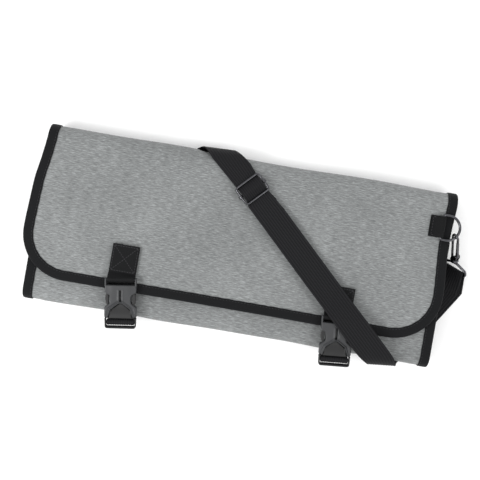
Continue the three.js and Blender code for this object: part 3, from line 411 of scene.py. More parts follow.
# Woven black ribbon and webbing: polyester yarn in close cross ribs. The eye sees a near black with a
# faint grey painted sheen where the yarns stand up, and on the webbing painted shade in dark grooves
# along it, as wide apart as its ribs. The fuzz clouds under them are a random tone of the yarn.
def wovenBlack(name, dark, pale, rib, roughness, sheen, groove=0):
    values = {"fuzz": 5 / 6, "yarnSheenShare": 0.6, "grooveShadeShare": 0.55, "darkUpTo": 0.4, "paleFrom": 0.95,
              "relief": 0.5}
    material, tree, shader = newMaterial(name, {
        "Roughness": roughness, "Specular IOR Level": 0.13, "Sheen Weight": sheen, "Sheen Roughness": 0.45})
    where = addNode(tree, "ShaderNodeTexCoord").outputs["UV"]
    across = wave(tree, where, "Y", rib, 1.2, 2.0, 2.0)
    along = wave(tree, where, "X", 0.8 * rib, 1.0, 1.0)
    yarns = combined(tree, "MULTIPLY", across, along)
    fuzz = flatNoise(tree, where, values["fuzz"], values["fuzz"], 3.0, 0.65)
    # painted sheen: the colour goes pale on the yarn crowns, over the fuzz's random tone
    mixed = combined(tree, "MULTIPLY_ADD", yarns, values["yarnSheenShare"], fuzz)
    if groove:
        # painted shade: the colour goes dark in the grooves between the webbing's ribs
        mixed = combined(tree, "MULTIPLY_ADD", wave(tree, where, "X", groove), values["grooveShadeShare"], mixed)
    ramp(tree, shader, mixed, [(values["darkUpTo"], dark), (1.0 if groove else values["paleFrom"], pale)])
    raised(tree, shader, mixed, values["relief"], 0.00025)
    return material


# Acetal, injection moulded: a near black with soft highlights. The socket's tool is spark eroded, so it
# is satin with a very fine grain, and the plug's tool is polished, so it is a little glossier. The plug's
# much darker colour is partly its own black and partly painted shade for its tongue, deep in the socket's
# mouth.
def mouldedAcetal(name, colour, roughness):
    values = {"grain": 0.35, "patch": 11.111, "relief": 0.25}
    material, tree, shader = newMaterial(name, {
        "Base Color": rgb(colour), "IOR": 1.48, "Specular IOR Level": 0.5})
    where = addNode(tree, "ShaderNodeTexCoord").outputs["Object"]
    patches = noise(tree, where, [values["patch"]] * 3, 3.0)
    clouded(tree, shader, patches, roughness - 0.06, roughness + 0.08)
    raised(tree, shader, noise(tree, where, [values["grain"]] * 3, 2.0), values["relief"], 0.0001)
    return material


# Zinc and steel wire, polished and plated with black nickel: a dark mirror, clouded a little by handling.
def blackNickel():
    values = {"colour": "#505053", "roughness": 0.16, "cloud": 3.84615}
    material, tree, shader = newMaterial("polishedBlackNickel", {
        "Base Color": rgb(values["colour"]), "Metallic": 1.0})
    where = addNode(tree, "ShaderNodeTexCoord").outputs["Object"]
    clouds = noise(tree, where, [values["cloud"]] * 3, 4.0)
    clouded(tree, shader, clouds, values["roughness"] - 0.06, values["roughness"] + 0.12)
    return material


grey = heatheredOxford()
tapeBlack = wovenBlack("grosgrainBindingTape", "#050506", "#191a1c", 0.9, 0.75, 0.03)
strapBlack = wovenBlack("ribbedPolyesterWebbing", "#020203", "#1a1a1c", 1.1, 0.7, 0.02, webbing["ribPitch"])
tabBlack = wovenBlack("twillPolyesterWebbing", "#020203", "#131415", 1.0, 0.62, 0.02)
threadBlack = wovenBlack("bondedPolyesterThread", "#262628", "#4c4c4f", 0.5, 0.5, 0.1)
socketPlastic = mouldedAcetal("satinMouldedAcetal", "#2b2c2e", 0.42)
# the plug's dark colour is partly painted shade: its tongue sits recessed in the socket's mouth
plugPlastic = mouldedAcetal("darkAcetalWithPaintedShade", "#0b0b0c", 0.4)
nickel = blackNickel()
print("materials made")


# Padded case

def evened(table):  # a table of shares, eased so that no kink shows
    along = np.linspace(-0.2, 1.2, 281)
    values = np.interp(along, table[:, 0], table[:, 1])
    weights = np.exp(-0.5 * (np.arange(-14, 15) / 6) ** 2)
    eased = np.convolve(np.pad(values, 14, mode="edge"), weights / weights.sum(), mode="valid")
    return along, eased


flapShares = {
    "shift": evened(np.array([[0, 0], [0.15, 0.5], [0.3, 1], [0.62, 0.85], [1, 1]])),
    "flare": evened(np.array([[0, 0], [0.15, 0.1], [0.3, 0.4], [0.62, 1], [1, 0.9]])),
}


def sag(x):
    return roll["endLift"] * smooth((np.abs(x) - roll["sagHalf"]) / roll["sagRamp"])


def onCase(across, distance, out):
    # The flat panel's point, carried round the inner front, the bottom fold, the back, the top fold and
    # the flap
    across, distance, out = np.broadcast_arrays(across, distance, out)
    lengths = np.array([roll["innerReach"], math.pi * bottomRadius, backLength, math.pi * topRadius])
    starts = np.concatenate([[0], np.cumsum(lengths)])
    bottomAngle = np.clip((distance - starts[1]) / bottomRadius, 0, math.pi)
    topAngle = np.clip((distance - starts[3]) / topRadius, 0, math.pi)
    onTop = distance > (starts[2] + starts[3]) / 2
    outY = np.where(onTop, np.sin(topAngle), -np.sin(bottomAngle))
    outZ = np.where(onTop, -np.cos(topAngle), np.cos(bottomAngle))
    pastTop = np.minimum(distance - starts[3], 0) - np.maximum(distance - starts[4], 0)
    pastBottom = np.maximum(starts[1] - distance, 0) + np.maximum(distance - starts[2], 0)
    topY = topCentre + topRadius * outY + pastTop
    y = np.where(onTop, topY, bottomCentre + bottomRadius * outY + pastBottom)
    z = np.where(onTop, backHeight + topRadius * (1 + outZ), backHeight + bottomRadius * (1 + outZ))
    share = (distance - (panelLength - roll["flapReach"])) / roll["flapReach"]
    flare = np.interp(share, *flapShares["flare"])
    shift = np.interp(share, *flapShares["shift"])
    x = across * (1 + flare * roll["flapFlare"] / halfLength) - shift * roll["flapShift"]
    return np.stack([x, y + out * outY, z + out * outZ + sag(x)], axis=-1)


def halfAt(distance):  # half the panel's length where its corners are rounded
    inner = roll["innerCorner"] - np.clip(distance, 0, roll["innerCorner"])
    flap = roll["flapCorner"] - np.clip(panelLength - distance, 0, roll["flapCorner"])
    return (halfLength - roll["innerCorner"] + np.sqrt(roll["innerCorner"] ** 2 - inner ** 2)
            - roll["flapCorner"] + np.sqrt(roll["flapCorner"] ** 2 - flap ** 2))


def pressed(points):
    # One where webbing lies on the case and nothing well away from it: worked out from each point's
    # distance to the middle line of each strip, less half the strip's width
    slack, fade, underTab, tuckAside = 2.0, 7, 10, 8
    aboveSlider, pastFold = 0.35, 1.1  # shares of the way from the slider to the bottom fold
    frontWay = vec(turnX - slider["x"], turnY - sliderY, 0)
    start = vec(slider["x"], sliderY, 0)
    tabReach = vec(ring["tabLength"], 0, 0)
    strips = [(start - aboveSlider * frontWay, start + pastFold * frontWay, webbing["width"] / 2, 1),
              (frontRing["origin"] - tabReach, frontRing["origin"], ring["tabWidth"] / 2, 1),
              (rearRing["origin"] - tabReach, rearRing["origin"], ring["tabWidth"] / 2, -1)]
    for one in sides:
        half = webbing["tabWidth"] / 2
        strips.append((vec(one["x"], flapEdge, 0), vec(one["x"], one["tabTop"] - underTab, 0), half, 1))
        strips.append((vec(one["x"] + tuckAside, bottomFold, 0),
                       vec(one["x"], -buckle["top"] + buckle["rearReach"], 0), half, -1))
    most = np.zeros(points.shape[:-1])
    for low, high, half, side in strips:
        line = (high - low)[:2]
        away = points[..., :2] - low[:2]
        t = np.clip(away @ line / (line @ line), 0, 1)
        distance = np.linalg.norm(away - t[..., None] * line, axis=-1)
        facing = side * (points[..., 2] - backHeight - bottomRadius) > 0
        most = np.maximum(most, facing * smooth((half + slack + fade - distance) / fade))
    return most


def casePanel():
    # Rows run across the flat panel and round both its faces. The faces stand off the middle by half the
    # wall, with slow rises and hollows, and small puckers that die away from the binding's stitching. Where
    # webbing presses on the case the rises give way to a shallow dent.
    look = {"cell": 2.6, "swell": 0.8, "lift": 0.35, "easeIn": 14, "behind": 0.6, "pressedBy": -0.25,
            "pucker": 0.2, "puckerPitch": 8.5, "puckerReach": 18 / 2.2, "puckerFrom": 9}
    corner = roll["flapCorner"] * (1 - np.cos(np.linspace(0, math.pi / 2, 24)))
    inner = roll["innerCorner"] * (1 - np.cos(np.linspace(0, math.pi / 2, 12)))
    middle = np.linspace(inner[-1], panelLength - corner[-1],
                         round((panelLength - corner[-1] - inner[-1]) / look["cell"]))
    distance = np.concatenate([inner[:-1], middle, panelLength - corner[::-1][1:]])
    share = np.linspace(-1, 1, round(2 * halfLength / look["cell"]))
    half = halfAt(distance)[:, None]
    across = share[None, :] * half
    along = np.broadcast_to(distance[:, None], across.shape)
    fromSide = half - np.abs(across)
    edge = np.minimum(fromSide, np.minimum(along, panelLength - along))
    inward = smooth((edge - roll["tapeWidth"]) / look["easeIn"])
    # The slow swell is three waves, long and short, that share no length, so that nothing repeats
    slow = (np.sin(across / 31 + 0.7 * np.sin(along / 47)) * np.sin(along / 38 + 1.3)
            + 0.6 * np.sin(across / 17 - along / 61 + 2.1) * np.sin(along / 23 + 0.4)
            + 0.8 * np.sin(across / 68 + 0.5) * np.cos(along / 90))
    turns = 2 * math.pi / look["puckerPitch"]
    ripple = np.sin(turns * across + 1.2 * np.sin(across / 13))
    ripple = ripple + np.sin(turns * along + 1.2 * np.sin(along / 11))
    fade = np.exp(-np.maximum(edge - roll["tapeWidth"], 0) / look["puckerReach"])
    fade = fade * smooth((edge - look["puckerFrom"]) / 3)
    relief = (look["swell"] * slow + look["lift"]) * inward + look["pucker"] * ripple * fade
    press = pressed(onCase(across, along, roll["wall"] / 2))
    relief = relief * (1 - press) + look["pressedBy"] * press
    front = onCase(across, along, roll["wall"] / 2 + relief)
    behind = onCase(across, along, -roll["wall"] / 2 + look["behind"] * relief)
    points = np.concatenate([front, behind[:, ::-1]], axis=1)
    uvFront = np.stack([across, along], axis=-1)
    uv = np.concatenate([uvFront, uvFront[:, ::-1], uvFront[:, :1]], axis=1)
    shell = gridShell(points, uv=uv, caps=False)
    columns = points.shape[1]
    last = (len(distance) - 1) * columns
    step = np.arange(columns // 2 - 1)
    start = np.stack([step, columns - 1 - step, columns - 2 - step, step + 1], axis=-1)
    ends = np.vstack([start[:, ::-1], start + last])
    if not np.array_equal(shell["quads"][0], [0, 1, columns + 1, columns]):
        ends = ends[:, ::-1]
    shell["quads"] = np.vstack([shell["quads"], ends])
    shell["uv"] = np.vstack([shell["uv"], np.zeros((len(ends) * 4, 2))])
    return addPiece("padded_case", shell, grey, ["case_panel"], 60)


# Edge binding

def edgeRoute(spacing):
    # Once round the flat panel's edge: places across and along it, and the way out over the edge
    inner, flap = roll["innerCorner"], roll["flapCorner"]

    def stations(across, at, outX, outY):
        return np.stack(np.broadcast_arrays(across, at, outX, outY), axis=-1)

    def corner(radius, sign, edgeAt):
        angle = np.linspace(0, math.pi / 2, max(4, round(radius * math.pi / 2 / spacing)))
        across = halfLength - radius * (1 - np.cos(angle))
        along = edgeAt - sign * radius * (1 - np.sin(angle))
        return stations(across, along, np.cos(angle), sign * np.sin(angle))

    def edge(half, at, sign):
        return stations(np.linspace(half, -half, round(2 * half / spacing))[1:-1], at, 0, sign)

    low, high = inner, panelLength - flap
    side = stations(halfLength, np.linspace(low, high, round((high - low) / spacing))[1:-1], 1, 0)
    right = np.concatenate([corner(inner, -1, 0)[::-1], side, corner(flap, 1, panelLength)])
    left = right[::-1] * np.array([-1, 1, -1, 1])
    flapEdge, innerEdge = edge(halfLength - flap, panelLength, 1), edge(halfLength - inner, 0, -1)
    return np.concatenate([right, flapEdge, left, innerEdge[::-1]])


def edgeBinding():
    # A tape folded over the panel's edge: a band section carried once round it, a little wavy on its free
    # edges
    look = {"spacing": 2.6, "wave": 0.25, "wavePitch": 13, "fold": 1.9, "crown": 0.12,
            "edgeDip": 0.3, "freeEdge": 3, "freeShare": 0.6, "breathe": 0.02}
    inside = roll["wall"] / 2 + gap
    outside = inside + roll["tape"]
    root = proud - roll["tapeWidth"]
    fold = look["fold"]
    outer = roundedPath([(root, outside, 0), (proud, outside, fold), (proud, -outside, fold),
                         (root, -outside, 0)], False, 15)
    face = np.linspace(root, outer[1][0], 9)[:, None]
    bulge = look["crown"] * np.sin(np.pi * (face[:, 0] - root) / roll["tapeWidth"])
    crown = np.column_stack([face, outside + bulge])
    crown[0, 1] -= look["edgeDip"]
    below = crown[::-1] * np.array([1, -1])
    section = np.concatenate([crown, outer[2:-2], below,
                              [(root, -inside), (gap, -inside), (gap, inside), (root, inside)]])
    route = edgeRoute(look["spacing"])
    length = runLength(route[:, :2])
    ripple = look["wave"] * np.sin(2 * np.pi * length / look["wavePitch"] + np.sin(length / 37))
    loose = look["freeShare"] * (section[None, :, 0] < root + look["freeEdge"])
    out = section[None, :, 0] + ripple[:, None] * loose
    rise = section[None, :, 1] * (1 + look["breathe"] * np.sin(length / 5.3)[:, None])
    across = route[:, 0, None] + out * route[:, 2, None]
    along = route[:, 1, None] + out * route[:, 3, None]
    points = onCase(across, along, rise)
    girth = runLength(section)
    girth = np.append(girth, girth[-1] + 1)
    lengths = np.append(length, length[-1] + look["spacing"])
    uv = np.stack(np.broadcast_arrays(girth[None, :], lengths[:, None]), axis=-1)
    shell = gridShell(points, closedRows=True, uv=uv)
    return addPiece("binding_tape", shell, tapeBlack, ["edge_binding"], 50), route


binding, bindingRoute = edgeBinding()
print("binding made")


# Stitching

def stitches(path, normal, spacing=3.0, length=2.3, thick=0.26, closed=False):
    # Short threads laid end to end along a path. Each is a spindle: its radius and rise follow a half sine.
    rings = 6
    ends = np.vstack([path, path[:1]]) if closed else path
    normals = np.vstack([normal, normal[:1]]) if closed else normal
    way = runLength(ends)
    count = max(1, int(way[-1] / spacing))
    at = (np.arange(count) + 0.5) * way[-1] / count

    def along(values, places):
        return np.stack([np.interp(places, way, values[:, i]) for i in range(3)], axis=-1)

    centre = along(ends, at)
    ahead = unit(along(ends, np.minimum(at + 0.5, way[-1])) - along(ends, np.maximum(at - 0.5, 0)))
    out = along(normals, at)
    out = unit(out - (out * ahead).sum(axis=1, keepdims=True) * ahead)
    beside = np.cross(out, ahead)
    t = np.linspace(0.02, 0.98, rings)
    angle = 2 * np.pi * np.arange(rings) / rings
    radius = thick * np.sin(np.pi * t) ** 0.6
    x = np.broadcast_to(((t - 0.5) * length)[:, None], (rings, rings))
    y = radius[:, None] * np.cos(angle)
    z = radius[:, None] * np.sin(angle) + 0.5 * thick * np.sin(np.pi * t)[:, None]
    points = (centre[:, None, None] + x[..., None] * ahead[:, None, None]
              + y[..., None] * beside[:, None, None] + z[..., None] * out[:, None, None])
    one = gridShell(points[0])
    shifts = np.arange(count) * rings * rings
    quads = (one["quads"][None] + shifts[:, None, None]).reshape(-1, 4)
    ends = [[i + shift for i in end] for shift in shifts.tolist() for end in one["ends"]]
    return bareShell(points.reshape(-1, 3), quads, ends)


def bindingStitches():
    inset, sunk = 1.8 - roll["tapeWidth"] + proud, 0.12
    rows = []
    across = bindingRoute[:, 0] + inset * bindingRoute[:, 2]
    along = bindingRoute[:, 1] + inset * bindingRoute[:, 3]
    lift = roll["wall"] / 2 + proud - sunk
    for side in (1, -1):
        path = onCase(across, along, side * lift)
        normal = unit(onCase(across, along, side * (lift + 1)) - path)
        rows.append(stitches(path, normal, spacing=3.4, length=2.7, thick=0.24, closed=True))
    addPiece("binding_stitches", rows, threadBlack)


bindingStitches()
print("stitching made")


# Webbing

def belt(guides, stepAngle=6):
    # A tight line past round guides (x, y, r, turn). A turn of 1 bends it left round the guide and -1 right.
    guides = [tuple(guide) + (0,) * (4 - len(guide)) for guide in guides]
    directions = []
    for before, guide in zip(guides, guides[1:]):
        reachX, reachY = guide[0] - before[0], guide[1] - before[1]
        spread = guide[3] * guide[2] - before[3] * before[2]
        directions.append(math.atan2(reachY, reachX) - math.asin(spread / math.hypot(reachX, reachY)))
    points = []
    for i, (x, y, r, turn) in enumerate(guides):
        if not r:
            points.append([(x, y)])
            continue
        sweep = turn * ((turn * (directions[i] - directions[i - 1])) % (2 * math.pi))
        steps = max(1, math.ceil(abs(sweep) / (stepAngle * degree)))
        angle = directions[i - 1] + sweep * np.arange(steps + 1) / steps
        points.append(np.column_stack([x + turn * r * np.sin(angle), y - turn * r * np.cos(angle)]))
    return np.vstack(points)


def innerLayer(guides):  # the same way for webbing that lies one layer further in
    moved = []
    for i, guide in enumerate(guides):
        if len(guide) > 2:
            moved.append((guide[0], guide[1], guide[2] + guide[3] * layer, guide[3]))
        else:
            moved.append((guide[0], guide[1] + (layer if i else -layer)))
    return moved


def station(at, across, width):
    return {"at": np.atleast_2d(at).astype(float), "across": np.atleast_2d(across).astype(float),
            "width": np.atleast_1d(width).astype(float)}


# A flat line laid in a frame as webbing: it drifts sideways with its length, in which each rise counts by the
# climb
def layBelt(points, at, drift=0, climb=1, width=webbing["width"]):
    way = runLength(points * np.array([1, climb]))
    count = len(points)
    return station(place(at, points[:, 0], drift * way, points[:, 1]), np.tile(at["y"], (count, 1)),
                   np.full(count, float(width)))


def chain(parts):
    return {key: np.concatenate([part[key] for part in parts]) for key in ("at", "across", "width")}


def cut(part, start=None, stop=None, step=None):
    return {key: value[slice(start, stop, step)] for key, value in part.items()}


def webbingBand(stations, spacing=2.5, ribs=True):
    # A flat section with rounded edges and ribs along its faces, carried from station to station
    at, across, width = stations["at"], stations["across"], stations["width"]
    before = np.vstack([at[:1], at[:-1]])
    after = np.vstack([at[1:], at[-1:]])
    ahead = unit(after - before)
    rise = np.cross(across, ahead)
    size = np.linalg.norm(rise, axis=1, keepdims=True)
    half = across * width[:, None] / 2 / size
    rise = rise / size
    left, right = at + half, at - half
    way = runLength(at)
    places = np.unique(np.round(np.concatenate([way, np.arange(0, way[-1], spacing)]), 4))
    places = places[np.concatenate([[True], np.diff(places) > 0.05])]

    def along(values):
        return np.stack([np.interp(places, way, values[:, i]) for i in range(3)], axis=-1)

    left, right, rise = along(left), along(right), unit(along(rise))
    wide = float(np.median(width))
    flatColumns, columnsPerRib, ribEase, edgeFall = 15, 6, 1.6, 0.72
    count = round(wide / webbing["ribPitch"] * columnsPerRib) if ribs else flatColumns
    share = np.linspace(0, 1, count)
    fromEdge = np.minimum(share, 1 - share) * wide
    edge = strapThick / 2
    fall = edge - np.sqrt(edge ** 2 - (edge - np.clip(fromEdge, 0, edge)) ** 2)
    phase = 2 * np.pi * (share - 0.5) * wide / webbing["ribPitch"]
    ribbing = webbing["ribDepth"] * (np.cos(phase) - 1) / 2 if ribs else 0
    height = edge - fall * edgeFall + ribbing * smooth(fromEdge / ribEase)
    sections = np.concatenate([share, share[::-1]])
    heights = np.concatenate([height, -height[::-1]])
    points = (left[:, None] + (right - left)[:, None] * sections[None, :, None]
              + rise[:, None] * heights[None, :, None])
    acrossUv = np.concatenate([share, share[::-1] + 1.2, [0]]) * wide
    uv = np.stack(np.broadcast_arrays(acrossUv[None, :], places[:, None]), axis=-1)
    return gridShell(points, uv=uv)


def patchStitches(at, halfX, lowY, highY, height, cross=True, spacing=2.8):
    # A sewn box, with a cross in it, on a flat face at a height in a frame
    count, tight, thick = 12, 0.85, 0.36
    corners = [(-halfX, lowY), (halfX, lowY), (halfX, highY), (-halfX, highY)]
    lines = list(zip(corners, corners[1:] + corners[:1]))
    if cross:
        lines += [(corners[0], corners[2]), (corners[1], corners[3])]
    shells = []
    for start, end in lines:
        flat = np.linspace(start, end, count)
        path = place(at, flat[:, 0], flat[:, 1], height)
        shells.append(stitches(path, np.tile(at["z"], (count, 1)), spacing, spacing * tight, thick))
    return shells


# Side release buckles, each in a frame with x across it, y from its webbing bar down to its lip and z up

buckle = {
    "width": 34.5, "length": 56.1, "thickness": 9, "rise": 15.65, "pitch": 6, "bar": 1.6,
    "socketLength": 44, "socketBarAt": 2.8, "slotEnd": 8.4, "armSlot": 15.4, "gripDepth": 6,
    "mouth": [(13.4, 44), (10.4, 35), (1.8, 28.8)], "plugBarAt": 49.2, "aboveTab": 1, "tabStep": 3,
    "rearReach": 20,
}
buckle["lipStart"] = buckle["plugBarAt"] + buckle["bar"] + 3 * gap + strapThick
buckle["hubEnd"] = buckle["plugBarAt"] - buckle["bar"] - 5 * gap - strapThick
flapEdge = topCentre - roll["flapReach"] - proud
buckle["top"] = -flapEdge - buckle["rise"]
sides = [
    {"side": "left", "x": -120.5, "turn": 8.5, "tab": 33.5},
    {"side": "right", "x": 117.0, "turn": 5.5, "tab": 29},
]
for one in sides:
    one["tabTop"] = buckle["aboveTab"] + one["tab"] - buckle["top"]


def buckleFrame(one):
    turn, pitch = one["turn"] * degree, buckle["pitch"] * degree
    level = vec(math.sin(turn), -math.cos(turn), 0)
    along = level * math.cos(pitch) - up * math.sin(pitch)
    across = vec(-math.cos(turn), -math.sin(turn), 0)
    height = flapEndTop + proud + gap + buckle["rise"] * math.tan(pitch)
    return axes(vec(one["x"], -buckle["top"], height), across, along, np.cross(across, along))


def ridge(distance, half):  # a rounded ridge of unit height along the places where distance is zero
    return np.exp(-(distance / half) ** 2)


def buckleBar(at, along, short):  # the bar that webbing turns round, short of the buckle's sides
    barAt = axes(place(at, 0, along, buckle["thickness"] / 2), at["y"], at["x"], at["z"])
    reach = buckle["width"] / 2 - short
    return wire(np.array([[0, -reach], [0, reach]]), barAt, buckle["bar"])


def buckleSocket(at):
    # One moulded shell: the body with its finger windows and mouth, the two arms beside the webbing, and
    # relief of a raised rim along the mouth, a shallow dish either side of the slit, and the slit itself
    look = {"armTop": 7.7, "armUnder": 1.8, "armStart": 0.9, "rimAt": 0.9, "rim": 0.6, "dipAt": 2.4,
            "dip": 0.75, "dish": 0.5, "dishFrom": 7.5, "cheekAt": 2.4, "cheek": 0.35, "slitStart": 14,
            "slitEnd": 26.4, "slitHalf": 1.25, "slitDeep": 4.2, "endFall": 0.5}
    half, length, thick = buckle["width"] / 2, buckle["socketLength"], buckle["thickness"]
    mouth = buckle["mouth"]
    waist = half - buckle["gripDepth"]
    outline = roundedPath(mirrored([  # from the arms down the finger grips and round the mouth
        (half - 0.4, buckle["slotEnd"], 0.9), (half, 0.37 * length, 3.0), (waist, 0.455 * length, 4.2),
        (waist, 0.64 * length, 4.6), (half + 0.1, 0.745 * length, 2.2), (half, length, 1.4),
        (*mouth[0], 0.7), (*mouth[1], 3.0), (*mouth[2], 1.2)]), True, 12)
    mouthLine = np.array(mouth + [(-x, y) for x, y in mouth[::-1]])

    def armInside(x, y):
        middle = (buckle["armSlot"] + half) / 2
        across = (half - buckle["armSlot"]) / 2 - np.abs(np.abs(x) - middle)
        return np.minimum(across, np.minimum(y - look["armStart"], buckle["slotEnd"] + 1.5 - y))

    def armTop(x, y):
        return look["armTop"] - 0.6 * smooth((3 - y) / 3)

    def top(x, y):
        rim = toLines(x, y, mouthLine[:-1], mouthLine[1:])
        aside = np.abs(x)
        start, end = look["slitStart"], look["slitEnd"]
        beside = smooth((y - start + 1.2) / 1.5) * smooth((end + 1.6 - y) / 1.5)
        within = smooth((y - start) / 0.5) * smooth((end - y) / 0.5)
        dish = smooth((aside - look["dishFrom"]) / 8) * smooth((0.5 * length - y) / 8)
        slit = smooth((look["slitHalf"] - aside) / 0.35) * within
        raisedBy = (look["rim"] * ridge(rim - look["rimAt"], 0.7)
                    + look["cheek"] * ridge(aside - look["cheekAt"], 0.7) * beside)
        loweredBy = (look["dip"] * ridge(rim - look["dipAt"], 0.8) + look["dish"] * dish
                     + look["slitDeep"] * slit + look["endFall"] * smooth((y - (length - 2)) / 2.5))
        return thick - 0.5 + raisedBy - loweredBy

    wide = half + 1
    bodyReach = (-wide, wide, buckle["slotEnd"] - 1, length + 1)
    armReach = (-wide, wide, 0, buckle["slotEnd"] + 2)
    body = mouldedPlate(at, lambda x, y: insideDistance(x, y, outline), bodyReach, top, 0, 1.3, 0.36)
    arms = mouldedPlate(at, armInside, armReach, armTop, look["armUnder"], 0.85, 0.3)
    return [body, arms, buckleBar(at, buckle["socketBarAt"], 0.9)]


def bucklePlug(at):
    # Base with its webbing slot and lip, the sloping tongue seen in the socket's mouth, and the two
    # sprung prongs
    look = {"baseTop": 6.9, "lip": 1.5, "cheek": 0.5, "endFall": 0.5, "baseUnder": 2.1, "lipUnder": 1.1,
            "tongueTop": 4.6, "tongueRise": 2.1, "tongueUnder": 2.4, "prongTop": 6.4, "prongUnder": 2.6,
            "prongAt": 14.5, "prongIn": 3.2, "prongTipIn": 0.6, "prongHalf": 1.5, "prongSwell": 0.6}
    cell = 0.34
    half, length, slot = buckle["width"] / 2, buckle["length"], buckle["armSlot"]
    start, lipStart, hubEnd = buckle["socketLength"] + gap, buckle["lipStart"], buckle["hubEnd"]
    base = roundedPath(mirrored([(half, start, 0.8), (half - 0.4, length, 3.2)]), True, 10)
    hole = rectangle(slot, hubEnd, lipStart, 1.2, 15)
    low, bend, tip = buckle["mouth"]
    tongue = roundedPath(mirrored([
        (tip[0] - gap, tip[1] + gap, 1.0), (bend[0] - 0.5, bend[1] + 0.2, 3.0),
        (low[0] - 0.5, start + 0.6, 0.3)]), True, 15)
    widest = 0.48 * buckle["socketLength"]

    def baseInside(x, y):
        return np.minimum(insideDistance(x, y, base), -insideDistance(x, y, hole))

    def lipAt(y):
        return smooth((y - lipStart - 0.2) / 1.2)

    def baseTop(x, y):
        cheek = smooth((np.abs(x) - slot + 0.4) / 0.8)
        return (look["baseTop"] + look["lip"] * lipAt(y) + look["cheek"] * cheek * (1 - lipAt(y))
                - look["endFall"] * smooth((y - length + 2.4) / 2.4))

    def baseUnder(x, y):
        return look["baseUnder"] - look["lipUnder"] * lipAt(y)

    def tongueTop(x, y):
        return look["tongueTop"] + look["tongueRise"] * smooth((y - tip[1] - 2) / 12)

    def prongInside(x, y):
        armMiddle = (look["prongAt"] - look["prongIn"] * smooth((y - widest - 4) / 13)
                     - look["prongTipIn"] * smooth((widest - y) / 4))
        halfWide = look["prongHalf"] + look["prongSwell"] * ridge(y - widest - 2, 4)
        across = halfWide - np.abs(np.abs(x) - armMiddle)
        return np.minimum(across, np.minimum(y - widest + 3.8, start + 0.4 - y))

    return [
        mouldedPlate(at, baseInside, (-half - 1, half + 1, start - 1, length + 1), baseTop, baseUnder,
                     0.9, cell),
        mouldedPlate(at, lambda x, y: insideDistance(x, y, tongue), (-15, 15, tip[1] - 1, start + 1.5),
                     tongueTop, look["tongueUnder"], 0.4, cell),
        mouldedPlate(at, prongInside, (-17, 17, 16, start + 1), look["prongTop"], look["prongUnder"],
                     0.7, cell),
        buckleBar(at, buckle["plugBarAt"], 1.2),
    ]


def inPlane(at, point):
    away = point - at["origin"]
    return float(away @ at["y"]), float(away @ at["z"])


def buckleTab(one, at):
    # Webbing sewn down, over the socket's bar and back under itself
    barRound = buckle["bar"] + gap + strapThick / 2
    low = flapEndTop + gap + strapThick / 2
    sewnEnd = buckle["aboveTab"] + buckle["tabStep"] - buckle["top"]
    plane = axes(at["origin"], at["y"], at["x"], at["z"])
    start = inPlane(at, vec(one["x"], sewnEnd, low + layer))
    end = inPlane(at, vec(one["x"], sewnEnd, low))
    bar = (buckle["socketBarAt"], buckle["thickness"] / 2, barRound, -1)
    looped = layBelt(belt([start, bar, end]), plane, width=webbing["tabWidth"])

    def flat(y, height):
        return station(vec(one["x"], y, height), vec(-1, 0, 0), webbing["tabWidth"])

    tab = webbingBand(chain([
        flat(one["tabTop"], low + layer), flat(sewnEnd, low + layer), cut(looped, 1, -1),
        flat(sewnEnd, low), flat(one["tabTop"] - buckle["tabStep"], low)]), ribs=False)
    top = axes(vec(one["x"], sewnEnd, low + layer + strapThick / 2), vec(1, 0, 0), vec(0, 1, 0), up)
    inset, sunk = 1.9, 0.06
    sewing = patchStitches(top, webbing["tabWidth"] / 2 - inset, 1.6, one["tab"] - 3 - inset, -sunk)
    return tab, sewing


def buckleStrap(one, at):
    # From the back, round the bottom fold, to the plug's bar and back under itself
    turn = one["turn"] * degree
    slack = webbing["tabWidth"] / 2 * math.sin(turn)
    foldRound = bottomRadius + roll["wall"] / 2 + gap + strapThick / 2
    barRound = buckle["bar"] + gap + strapThick / 2
    plane = axes(at["origin"], at["y"], at["x"], at["z"])
    rear = backUnderside - gap - strapThick / 2

    def onStrap(y, z):
        return inPlane(at, vec(one["x"] + (-buckle["top"] - y) * math.tan(turn), y, z))

    start = onStrap(-buckle["top"] + buckle["rearReach"], rear)
    flatEnd = onStrap(bottomCentre + 1, rear)
    fold = (*onStrap(bottomCentre - slack, backHeight + bottomRadius + roll["endLift"]), foldRound, 1)
    bar = (buckle["plugBarAt"], buckle["thickness"] / 2, barRound, -1)
    end = (buckle["plugBarAt"] - 6, -9)
    return webbingBand(layBelt(belt([start, flatEnd, fold, bar, end]), plane, width=webbing["tabWidth"]))


for one in sides:
    at = buckleFrame(one)
    name = one["side"]
    tab, sewing = buckleTab(one, at)
    addPiece(name + "_tab_webbing", tab, tabBlack, [name + "_buckle_tab"], 50)
    addPiece(name + "_tab_stitches", sewing, threadBlack)
    addPiece(name + "_strap_webbing", buckleStrap(one, at), strapBlack,
             [name + "_buckle_strap"], 50)
    addPiece(name + "_socket_shell", buckleSocket(at), socketPlastic,
             [name + "_buckle_socket"], 50)
    addPiece(name + "_plug_shell", bucklePlug(at), plugPlastic,
             [name + "_buckle_plug"], 50)
print("buckles made")


# Slider

